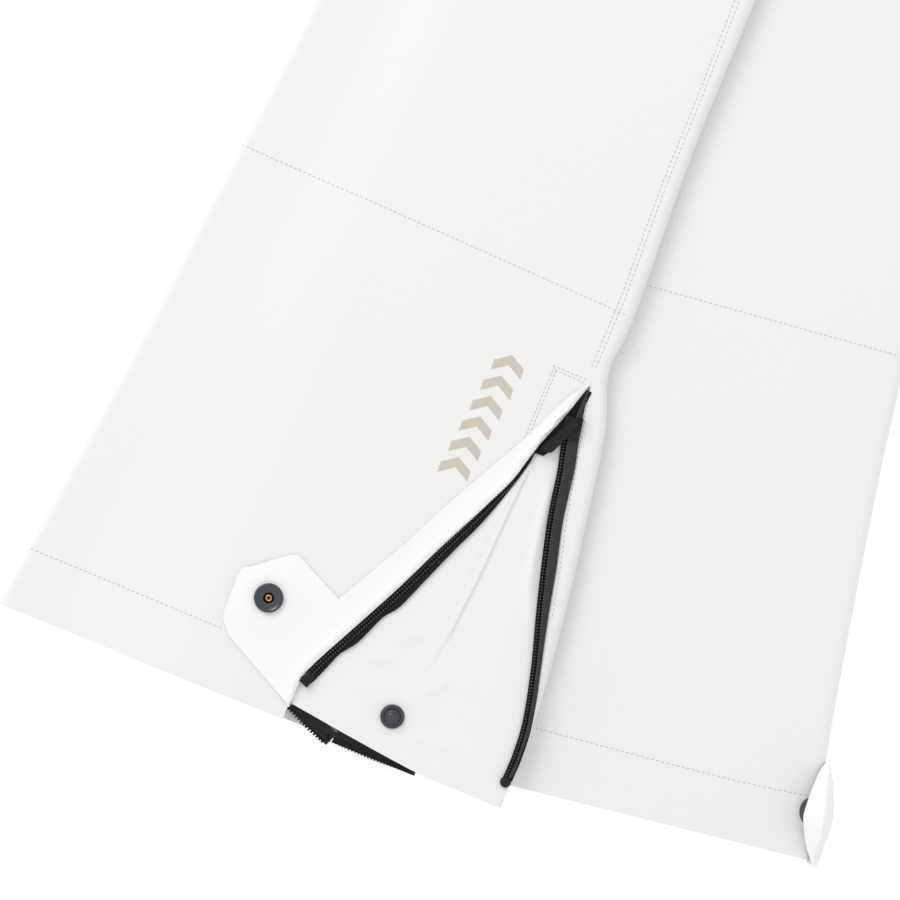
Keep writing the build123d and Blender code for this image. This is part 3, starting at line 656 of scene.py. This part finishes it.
# ---------------------------------------------------------------- gusset
CREASE = [(31.6, -344.9), (28.4, -373.5), (25.4, -404.8), (22.5, -426.4), (19.6, -445.9), (12.8, -471.4)]
SOFT_FOLD = [(42.9, -350.5), (46.1, -377.1), (48.8, -396.8), (53.9, -415.6), (59.6, -426.1)]
SECOND_FOLD = [(26.3, -357.3), (25.5, -369), (20.6, -396.8), (17.3, -425.1)]
STUD = np.mean(cad("left_snap_stud"), axis=0)
PUCKERS = [[(-4, -504), (-18, -498)], [(17, -478), (30, -462)], [(-14, -470), (-2, -462)],
           [(20, -500), (42, -496)], [(-20, -478), (-6, -484)], [(-8, -456), (12, -446)]]
GUSSET_TOP = cad("left_gusset")[1][2] - 0.35
GUSSET_HEM = [(-44.5, -502.2), (-8, -509), (26.9, -514.8), (52, -517), (74, -518.2)]
CREASE_TOP = curve(CREASE, 110)
CREASE_FOOT = CREASE_TOP + (1.1, -0.1, 0)


def fold_height(x, y, line, height, size):
    """A soft ridge along a line, faded at its ends."""
    gap, along = off_line(x, y, curve(line, 60))
    fade = np.clip(along / 0.15, 0, 1) * np.clip((1 - along) / 0.3, 0, 1)
    return height * fade * np.exp(-(gap / size) ** 2)


def crease_height(x, y):
    """The sharp crease: a slow rise from its left, a steep drop between its top and its foot."""
    gap, along = off_line(x, y, CREASE_TOP)
    from_foot, _ = off_line(x, y, CREASE_FOOT)
    fade = np.clip(along / 0.06, 0, 1) * np.clip((1 - along) / 0.35, 0, 1)
    right = from_foot < gap
    return fade * np.where(right, -0.4 * np.exp(-from_foot / 3.0), 1.1 * np.exp(-gap / 5.0))


def gusset_height(x, y):
    z = np.full(len(x), GUSSET_TOP)
    z += crease_height(x, y)
    z += fold_height(x, y, SOFT_FOLD, 1.5, 2.4) + fold_height(x, y, SECOND_FOLD, 0.7, 2.2)
    for line in PUCKERS:
        z += fold_height(x, y, line, 0.6, 2.8)
    for k in range(len(x)):
        z[k] += 0.35 * noise.noise(Vector((x[k] / 16, y[k] / 42, 7.0)))
    calm = np.exp(-((np.hypot(x - STUD[0], y - STUD[1]) / 9) ** 4))
    z = z * (1 - calm) + (GUSSET_TOP - 0.1) * calm
    return np.minimum(z, GUSSET_TOP + 1.7)


under_front = [(p[0] - 3.0, p[1]) for p in curve(FOLD_LINE[:-1], 40)]
under_back = [(p[0] + 1.6, p[1]) for p in curve(BACK_TEETH, 40)]
gusset_outline = under_front + [p[:2] for p in curve(GUSSET_HEM, 30)] + under_back[::-1]
gusset = patch("gusset_cloth", gusset_outline, gusset_height, GUSSET, "pants", 0.5, 1.2,
               [CREASE_TOP, CREASE_FOOT])
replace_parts(gusset, "left_gusset")
declared(gusset, 120, 222, 0.47)

hem_corner = patch("gusset_corner", [(66, -517.6), (72.5, -518.4), (74.4, -509), (73.4, -503), (69.5, -504)],
                   lambda x, y: np.full(len(x), GUSSET_TOP + 0.6), GUSSET, "pants", 0.5, 1.5)

# ---------------------------------------------------------------- placket patch and print
def left_face(lift):
    """A height function for a patch that lies on the upper leg."""
    return lambda x, y: np.array([(land(left_ground, a, b) or LEG_TOP) + lift for a, b in zip(x, y)])


placket_outline = [(24.2, -293.9), (46.6, -295.6), (46.5, -299.3), (40.0, -318.5), (32.5, -336.4),
                   (28.4, -347), (22.2, -341.5)]
placket = patch("placket_cloth", placket_outline, left_face(0.16), SHELL, "pants", 0.3)
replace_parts(placket, "left_placket", "left_flap_root")
declared(placket, 26, 56, 0.55)

box_lines = [[(26.4, -295.7), (46.1, -297.1)], [(27.9, -297.5), (45.4, -298.9)],
             [(26.4, -296.5), (23.6, -339.4)], [(28.0, -298.5), (25.6, -336.5)]]
placket_ground = ground_of(placket, sheets["left_shin_cloth"])
stitches("placket_stitch", placket_ground, box_lines, pitch=2.2, long=1.3)

PRINT_LOW, PRINT_HIGH = cad("left_print")
PEAKS, PEAK_HALF, PEAK, STROKE = 6, 8.0, 5.0, 5.4
PEAK_SHAPE = np.array([(-PEAK_HALF, 0), (0, PEAK), (PEAK_HALF, 0), (PEAK_HALF, STROKE), (0, PEAK + STROKE),
                       (-PEAK_HALF, STROKE)])
peak_step = ((PRINT_HIGH - PRINT_LOW)[:2] - (2 * PEAK_HALF, PEAK + STROKE)) / (PEAKS - 1)
for k in range(PEAKS):
    at = PRINT_LOW[:2] + (PEAK_HALF, 0) + peak_step * k
    mark = patch(f"print_peak_{k + 1}", PEAK_SHAPE + at, left_face(0.07), PRINT, "pants", 0.15, 1.6)
    if k == 0:
        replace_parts(mark, "left_print")

# ---------------------------------------------------------------- storm flap
SNAP = np.mean(cad("left_snap_socket"), axis=0)
FREE_EDGE = [(45.9, -299.8), (37.6, -309.5), (23.3, -336.8), (-0.2, -376.5), (-17.9, -409.1), (-39.1, -443.9)]
TAB_EDGE = [(-39.1, -443.9), (-65.9, -429.1), (-70.1, -430.9), (-74.6, -433.8), (-84.4, -441.3),
            (-90.8, -444.5), (-91.8, -450), (-92.2, -464), (-92, -471.1), (-90.6, -474), (-85.6, -479.9),
            (-70.9, -488.6), (-45, -503.7)]
FLAP_REST = LEG_TOP + 1.25


def flap_height(x, y):
    gap, along = off_line(x, y, fold_line)
    z = FLAP_REST + 0.9 * np.exp(-((gap - 1.5) / 3.5) ** 2) - 1.3 * np.clip(1 - gap / 0.9, 0, 1) ** 2
    from_snap = np.hypot(x - SNAP[0], y - SNAP[1])
    rise = np.clip((24 - from_snap) / 15, 0, 1)
    z += (cad("left_snap_socket")[1][2] - 2.4 - z) * rise * rise * (3 - 2 * rise)
    hem, _ = off_line(x, y, curve(FREE_EDGE, 60))
    z -= 0.25 * np.exp(-((hem - 3.2) / 0.7) ** 2) * (from_snap > 30)
    gathers = np.exp(-(((along - 0.56) / 0.13) ** 2)) * np.exp(-(((gap - 4.5) / 3.2) ** 2))
    return z + 0.16 * gathers * np.sin(along * 520)


free_curve = [p[:2] for p in curve(FREE_EDGE[:-1], 40)]
flap_outline = [p[:2] for p in fold_line[::-1]] + free_curve + TAB_EDGE
flap = patch("storm_flap_cloth", flap_outline, flap_height, SHELL_IN, None, 0.9, 1.7)
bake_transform(flap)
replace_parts(flap, "left_storm_flap")
declared(flap, 64, 226, 0.345)


# ---------------------------------------------------------------- zip chains
CHAIN_PITCH = 1.6


def teeth(name, line, z, wide, pitch=CHAIN_PITCH):
    """A row of moulded teeth in two heads each, along a line of points; z and wide are given along it."""
    spots = spots_on(np.array(line, float), pitch)
    shapes = []
    for k, (a, b) in enumerate(zip(spots, spots[1:])):
        share = k / len(spots)
        way = (b - a) / np.hypot(*(b - a))
        across = np.array([-way[1], way[0]])
        width_here = np.interp(share, np.linspace(0, 1, len(wide)), wide)
        height = np.interp(share, np.linspace(0, 1, len(z)), z)
        for side in (-1, 1):
            at = a + across * side * width_here * 0.27
            shapes.append(block((*at, height), way, (pitch * 0.66, width_here * 0.44, 1.25), 0.35))
        shapes.append(block((*a, height), way, (pitch * 0.5, width_here * 0.9, 0.85), 0.2))
    made = joined(name, shapes, TEETH, "pants", smooth=False)
    return made


def paint_teeth_highlights(name, line, z, out):
    """Two rows of grey dots on a chain's teeth: painted highlights of the teeth."""
    spots = spots_on(np.array(line, float), CHAIN_PITCH)
    shapes = []
    for a, b in zip(spots, spots[1:]):
        way = (b - a) / np.hypot(*(b - a))
        across = np.array([-way[1], way[0]])
        for side in (-1, 1):
            shapes.append(block((*(a + across * side * out), z), way + across * 0.5, (0.75, 0.4, 0.25), 0.4))
    joined(name, shapes, TEETH_HIGHLIGHT_PAINT, "pants")


def raised(line, z):
    """A flat line with heights interpolated along it."""
    line = np.array(line, float).copy()
    line[:, 2] = np.interp(np.linspace(0, 1, len(line)), np.linspace(0, 1, len(z)), z)
    return line


def shifted(line, shifts):
    """A line moved to its left by amounts given along it."""
    line = np.array(line, float)
    way = np.gradient(line[:, :2], axis=0)
    way /= np.linalg.norm(way, axis=1, keepdims=True)
    move = np.interp(np.linspace(0, 1, len(line)), np.linspace(0, 1, len(shifts)), shifts)
    moved = line.copy()
    moved[:, :2] += np.stack([-way[:, 1], way[:, 0]], 1) * move[:, None]
    return moved


def tape(name, left, right, finish=TAPE, crown=0.0):
    ribbon(name, left, right, finish, "pants", crown)


front_base = curve([p for p in FOLD_LINE if -490 < p[1] < -330], 140)
front_row = shifted(front_base, [-0.4, 0.5, 1.5, 2.2, 2.3, 2.3, 2.3])
TAPE_Z = cad("left_zip_front")[0][2] + 0.5
tape("front_zip_tape", raised(shifted(front_base, [-2]), [TAPE_Z]), raised(curve(FRONT_TAPE, 140), [TAPE_Z]),
     crown=0.25)
front_teeth = teeth("front_chain_teeth", front_row, [TAPE_Z + 0.15], [2.6, 3.2, 3.6, 3.8])
# Painted highlights on the front chain's teeth.
paint_teeth_highlights("front_chain_painted_highlight", front_row[20:], TAPE_Z + 1.3, 1.0)
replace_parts(front_teeth, "left_zip_front")

BACK_Z = cad("left_zip_back")[0][2] + 0.5
head_left = curve([(46.2, -300), (39, -317.5), (32.2, -335), (29.5, -341)], 30)
head_right = curve([(46.6, -300.4), (44.6, -313), (43.5, -330), (36, -341)], 30)
tape("zip_head_tape", raised(head_left, [BACK_Z - 0.35]), raised(head_right, [BACK_Z - 0.35]))
tape("laminated_tape", raised(shifted(back_line, [1.0]), [BACK_Z + 0.9]),
     raised(curve(BACK_TAPE, 160), [BACK_Z + 0.8]), LAMINATE, crown=0.45)
tape("back_zip_tape", raised(shifted(back_line, [-2.2]), [BACK_Z]), raised(shifted(back_line, [3]), [BACK_Z]))
back_teeth = teeth("back_chain_teeth", back_line[6:], [BACK_Z + 0.1], [2.4, 4.4, 4.4, 4.2, 3.6, 3.2, 3.2])
# Painted highlights on the back chain's teeth.
paint_teeth_highlights("back_chain_painted_highlight", back_line[20:], BACK_Z + 1.25, 0.9)
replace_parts(back_teeth, "left_zip_back")

END_R, END_TALL = 2.9, 2.6
end_profile = [(0.01, END_TALL), (END_R * 0.4, END_TALL * 0.95), (END_R * 0.8, END_TALL * 0.75),
               (END_R, END_TALL * 0.35), (END_R, 0), (0.01, 0)]
end_stop = lathe("back_chain_end", (71.9, -504.5, BACK_Z - 0.4), end_profile, TEETH, "pants")
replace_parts(end_stop, "left_zip_stops")
retainer = joined("front_chain_end", [block((-40.9, -487.4, TAPE_Z), (-0.42, -0.9), (6.5, 5.2, 2.4), 0.3),
                                      block((-41.7, -489.4, TAPE_Z), (-0.42, -0.9), (3.0, 5.8, 2.8), 0.3)],
                  TEETH, "pants")

gaiter_runs = [[(-44.5, -504.6), (-33.0, -510.7), (-21.6, -516.2)],
               [(-21.5, -512.8), (-6, -514.2), (10, -515.2), (26.4, -515.6)]]
for k, run in enumerate(gaiter_runs):
    teeth(f"gaiter_chain_{k + 1}", curve(run, 40), [cad("left_gaiter_zip")[1][2] - 0.6], [3.2, 3.0, 1.6], 1.7)

for name, (centre, along, long) in slots.items():
    low, high = cad(f"{name}_tape")
    line = [(*(centre + along * (share * 2 - 1) * (long - 3)), 0) for share in np.linspace(0, 1, 60)]
    teeth(f"{name}_chain", line, [high[2] - 3.35 if low[2] > 8 else low[2] + 2.0], [4.2], 1.8)

# ---------------------------------------------------------------- snaps
def turned(name, centre, profile, finish, body):
    made = lathe(name, centre, profile, finish, body)
    return made


socket_at = (SNAP[0], SNAP[1], cad("left_snap_socket")[1][2])
ring = [(2.7, -2.2), (2.7, -0.9), (3.2, -0.5), (4.4, -0.75), (5.9, -0.8), (6.4, -0.1), (7.0, 0),
        (7.45, -0.35), (7.55, -1.2), (7.4, -2.35)]
well = [(0.01, -1.9), (2.75, -1.9), (2.75, -2.4), (0.01, -2.4)]
spring = [(1.35 + 0.42 * cos(a), -1.35 + 0.42 * sin(a)) for a in np.linspace(2 * pi, 0, 13)]
cap = [(0.01, 1.5), (7.5, 1.4), (7.5, 0.9), (6.6, 0.45), (0.01, 0.45)]
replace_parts(turned("snap_socket_ring", socket_at, ring, GUNMETAL, "storm_flap"), "left_snap_socket")
turned("snap_socket_well", socket_at, well, DARK_METAL, "storm_flap")
turned("snap_spring", socket_at, spring, BRASS, "storm_flap")
turned("snap_cap", (SNAP[0], SNAP[1], LEG_TOP), cap, GUNMETAL, "storm_flap")

stud_low, stud_high = cad("left_snap_stud")
tip, flange = stud_high[2], stud_high[2] - 3.2
stud_profile = [(0.01, tip), (1.5, tip - 0.05), (2.4, tip - 0.5), (2.6, tip - 1.1), (2.2, tip - 1.9),
                (2.3, flange + 0.1), (3.0, flange - 0.35), (4.2, flange - 0.2), (4.6, flange + 0.1),
                (5.6, flange), (6.15, flange - 0.4), (6.2, stud_low[2])]
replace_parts(turned("snap_stud", (STUD[0], STUD[1], 0), stud_profile, GUNMETAL, "pants"), "left_snap_stud")
KNURLS, KNURL_R = 40, 5.3
knurls = []
for a in np.arange(KNURLS) * 2 * pi / KNURLS:
    spot = (STUD[0] + KNURL_R * cos(a), STUD[1] + KNURL_R * sin(a), flange - 0.15)
    knurls.append(block(spot, (cos(a), sin(a)), (1.1, 0.34, 0.3), 0.4))
joined("snap_stud_knurl", knurls, GUNMETAL, "pants")

# ---------------------------------------------------------------- hem tab of the leg below
TAB_LEFT = [(224.6, -441.8, 8), (222.3, -447, 14), (221.2, -455, 18), (221.0, -464, 18), (221.6, -472, 18),
            (224.6, -479, 16), (229, -487, 13), (235.4, -495, 9)]
TAB_CREASE = [(226.2, -441.9, 9), (227.2, -447, 18), (228.4, -456, 25), (231, -468.5, 28), (232.4, -474, 28),
              (233.6, -480, 25), (233.5, -486, 19), (236.2, -495, 10)]
TAB_RIGHT = [(226.8, -442, 7), (229.6, -448, 12), (232.8, -455, 15), (235.6, -464, 17), (237.2, -474, 17),
             (237.0, -483, 14), (237.4, -489, 11), (237.4, -495, 8)]
TAB_FOOT = [(226.0, -442.2, 5), (227.4, -448, 4.6), (228.2, -455, 4.4), (229.2, -464, 4.2),
            (230.4, -474, 4.2), (231.0, -483, 4.2), (231.6, -489, 4.4), (232.4, -494, 4.8)]
sides = [curve(line, 36) for line in (TAB_LEFT, TAB_CREASE, TAB_RIGHT, TAB_FOOT)]
shares = np.linspace(0, 1, 6)
inner_face = [[a + (b - a) * s for s in shares] for a, b in zip(sides[0], sides[1])]
outer_face = [[*(b + (c - b) * s for s in shares), *(c + (d - c) * s for s in shares[1:])]
              for b, c, d in zip(*sides[1:])]
hem_tab = grid_cloth("hem_tab_inner_cloth", inner_face, SHELL_IN, "hem_tab", 0.8, flip=True)
hem_tab_outer = grid_cloth("hem_tab_outer_cloth", outer_face, SHELL, "hem_tab", 0.8, flip=True)
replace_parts(hem_tab_outer, "right_hem_tab")
declared(hem_tab, 16, 54, 0.66)
declared(hem_tab_outer, 28, 54, 0.72)

# ---------------------------------------------------------------- waistband and what is on it
def band_loop():
    """Once round the folded waistband: x, z pairs, clockwise from the front fold as its top edge is seen."""
    low, high = cad("waistband")
    left, right, tall = low[0], high[0], LEG_TOP
    outer = tall / 2
    turn = [(outer - outer * cos(a), outer * sin(a)) for a in np.linspace(0, pi / 2, 10)]
    side = [(right - EDGE_R + EDGE_R * sin(a), EDGE_R * cos(a)) for a in np.linspace(0, pi, 11)]
    inner = np.linspace(right - 8, left + 24, 24)
    face = np.linspace(left + outer + 6, right - 8, 24)
    loop = [(left + dx, outer + dz) for dx, dz in turn] + [(x, tall) for x in face]
    loop += [(x, tall - EDGE_R + dz) for x, dz in side] + [(x, UPPER) for x in inner]
    loop += [(left + 20, (UPPER + THICK) / 2)] + [(x, THICK) for x in inner[::-1]]
    loop += [(x, EDGE_R + dz) for x, dz in side] + [(x, 0) for x in face[::-1]]
    return loop + [(left + dx, outer - dz) for dx, dz in turn[:0:-1]]


band_rows = []
for y in np.linspace(WAIST_SEAM, WAIST_TOP, 12):
    shrink = 0.5 * (1 - sin(pi * (y - WAIST_SEAM) / (WAIST_TOP - WAIST_SEAM)) ** 0.4)
    band_rows.append([(x, y, z + (shrink if z < 0.3 else -shrink if z > LEG_TOP - 0.3 else 0))
                      for x, z in band_loop()])
band = grid_cloth("waistband_cloth", band_rows, SHELL, "pants", 1.6, closed=True)
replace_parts(band, "waistband")
declared(band, 38, 840)
band_ground = ground_of(band)
band_lines = [[(-112, y), (80, y)] for y in (WAIST_SEAM + 2.5, WAIST_TOP - 3)]
stitches("waistband_stitch", band_ground, band_lines)
stitches("waistband_stitch_below", band_ground, band_lines, up=False)

for k, x in enumerate((-20, 62)):
    rise = [(WAIST_SEAM - 1, 0.5), (WAIST_SEAM + 3, 2.2), (497, 3.0), (WAIST_TOP - 4, 2.2),
            (WAIST_TOP - 1, 0.5)]
    line = curve([(x, y, LEG_TOP + lift) for y, lift in rise], 30)
    rows = [[p + (dx, 0, 0) for dx in np.linspace(-4.5, 4.5, 5)] for p in line]
    loop = grid_cloth(f"belt_loop_{k + 1}", rows, SHELL, "pants", 0.9)
    if k == 0:
        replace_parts(loop, "belt_loops")

tab_low, tab_high = cad("waist_tab")
rounded = [(tab_low[0] + 6 - 6 * cos(a), tab_high[1] - 6 + 6 * sin(a)) for a in np.linspace(pi / 2, 0, 6)]
rounded += [(x, tab_low[1] + tab_high[1] - y) for x, y in rounded[::-1]]
tab_outline = [(tab_high[0], tab_high[1])] + rounded + [(tab_high[0], tab_low[1])]
tab_z = cad("waist_sockets")[1][2] - 0.9
closure = patch("closure_tab_cloth", tab_outline, lambda x, y: np.full(len(x), tab_z), SHELL,
                "closure_tab", 1.0)
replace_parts(closure, "waist_tab")
declared(closure, 34, 40, 0.97)
inset = [(tab_low[0] + 3, tab_low[1] + 3), (tab_high[0] - 2, tab_low[1] + 3)]
tab_lines = [inset, [(x, tab_low[1] + tab_high[1] - y) for x, y in inset],
             [(tab_low[0] + 3, 484), (tab_low[0] + 3, 510)]]
stitches("closure_tab_stitch", ground_of(closure), tab_lines, "closure_tab")
root_low, root_high = cad("waist_tab_root")
root_outline = [(root_low[0], root_low[1]), (root_high[0], root_low[1]), (root_high[0], root_high[1]),
                (root_low[0], root_high[1])]
tab_root = patch("closure_tab_root_cloth", root_outline,
                 lambda x, y: LEG_TOP + 1.9 - 0.14 * np.maximum(x - root_low[0], 0), SHELL, "pants", 1.2)
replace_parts(tab_root, "waist_tab_root")


# ---------------------------------------------------------------- gaiters inside the hems
# A gaiter's elastic lies between these of its leg's table rows.  Its sleeve ends this much of a row short
# of the cross seam.
ELASTIC_ROWS, SLEEVE_SHORT = (0.19, 0.42), 0.8
GAITER_TOP, SHORT_OF = {"left": 6.2, "right": 8.7}, {"left": 8, "right": 43}


def gaiter_rows(side, start, end, count, rim):
    """Closed loops round a leg's inside, gathered where the elastic holds them."""
    leg, low, high = legs[side], 1.3, GAITER_TOP[side]
    for t in np.linspace(start, end, count):
        row = leg.row(t)
        wide = np.hypot(*(row[2:4] - row[0:2]))
        left, right = 7, wide - SHORT_OF[side]
        tight = 1.0 if rim else max(0.0, 1 - (t - start) / 0.9)
        loop = []
        for a in np.arange(120) * 2 * pi / 120:
            flat = max(-1.0, min(1.0, 1.04 * cos(a)))
            d = (left + right) / 2 + (right - left) / 2 * flat
            lift = (high - low) / 2 * max(-1.0, min(1.0, 3 * sin(a)))
            x, y = row[0:2] + (row[2:4] - row[0:2]) * d / wide
            base = leg.level - leg.fall(row, x)
            loop.append((x, y, base + (low + high) / 2 + lift * 0.92 + 0.28 * tight * sin(d * 1.7)))
        yield loop


for side, wide, rim_long in (("left", 500, 13), ("right", 400, 18)):
    low, high = ELASTIC_ROWS
    rows = list(gaiter_rows(side, low, high, 6, True))
    rim = grid_cloth(f"{side}_gaiter_rim", rows, ELASTIC, "pants", 0.35, closed=True, flip=True)
    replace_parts(rim, f"{side}_gaiter_elastic")
    declared(rim, wide, rim_long)
    rows = list(gaiter_rows(side, high, CROSS_SEAM[side] - SLEEVE_SHORT, 40, False))
    sleeve = grid_cloth(f"{side}_gaiter_sleeve", rows, LINING, "pants", 0.35, closed=True, flip=True)
    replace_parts(sleeve, f"{side}_gaiter")
    declared(sleeve, wide, 214)

fold_in = patch("right_gusset_cloth", [(192, -300), (200, -300), (214, -480), (206, -480)],
                lambda x, y: np.full(len(x), cad("right_gusset")[1][2]), GUSSET, "pants", 0.5)
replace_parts(fold_in, "right_gusset")

# ---------------------------------------------------------------- finishes of the CAD nodes that show
FINISHES = {"tape": TAPE, "slider": DARK_METAL, "pull": DARK_METAL, "hook": GUNMETAL, "socket": GUNMETAL,
            "stud": GUNMETAL, "label": SHELL_IN, "zip": TEETH}
for name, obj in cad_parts.items():
    if obj.hide_render:
        continue
    finish = next(m for key, m in FINISHES.items() if key in name)
    obj.data.materials.clear()
    obj.data.materials.append(finish)
for name in ("left_zip_slider", "left_zip_pull"):
    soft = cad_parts[name].modifiers.new("edges", "BEVEL")
    soft.width, soft.segments, soft.limit_method = 0.35 * MM, 2, "ANGLE"

# ---------------------------------------------------------------- floor, light, camera
VIEW_CENTRE = (-10.0, -353.6)
VIEW_WIDTH, ROLL, CAMERA_HEIGHT, SENSOR = 459.0, 19.0, 2200.0, 36.0
floor = bpy.data.meshes.new("floor")
floor.from_pydata([(-6, -6, 0), (6, -6, 0), (6, 6, 0), (-6, 6, 0)], [], [(0, 1, 2, 3)])
floor_object = bpy.data.objects.new("floor", floor)
scene.collection.objects.link(floor_object)
floor_object.location.z = cad_box[0][2] - 0.0005
floor_finish = material("floor_white", (0.97, 0.97, 0.97), 0.9)
floor_shader = floor_finish.node_tree.nodes["Principled BSDF"]
floor_shader.inputs["Emission Color"].default_value = (1, 1, 1, 1)
floor_shader.inputs["Emission Strength"].default_value = 0.3
floor.materials.append(floor_finish)

world = bpy.data.worlds.new("studio")
scene.world = world
world.use_nodes = True
background = world.node_tree.nodes["Background"]
background.inputs["Color"].default_value = (1, 1, 1, 1)
background.inputs["Strength"].default_value = 0.93


def area_light(name, place, target, size, power):
    data = bpy.data.lights.new(name, "AREA")
    data.shape = "SQUARE"
    data.size = size
    data.energy = power
    light = bpy.data.objects.new(name, data)
    light.location = place
    light.rotation_euler = (Vector(target) - Vector(place)).to_track_quat("-Z", "Y").to_euler()
    scene.collection.objects.link(light)


area_light("key", (-1.6, 0.9, 1.7), (0, -0.3, 0), 1.2, 20)

camera_data = bpy.data.cameras.new("camera")
camera_data.sensor_width = SENSOR
camera_data.lens = SENSOR * (CAMERA_HEIGHT - LEG_TOP) / VIEW_WIDTH
camera = bpy.data.objects.new("camera", camera_data)
camera.location = (VIEW_CENTRE[0] * MM, VIEW_CENTRE[1] * MM, CAMERA_HEIGHT * MM)
camera.rotation_euler = (0, 0, radians(ROLL))
scene.collection.objects.link(camera)
scene.camera = camera
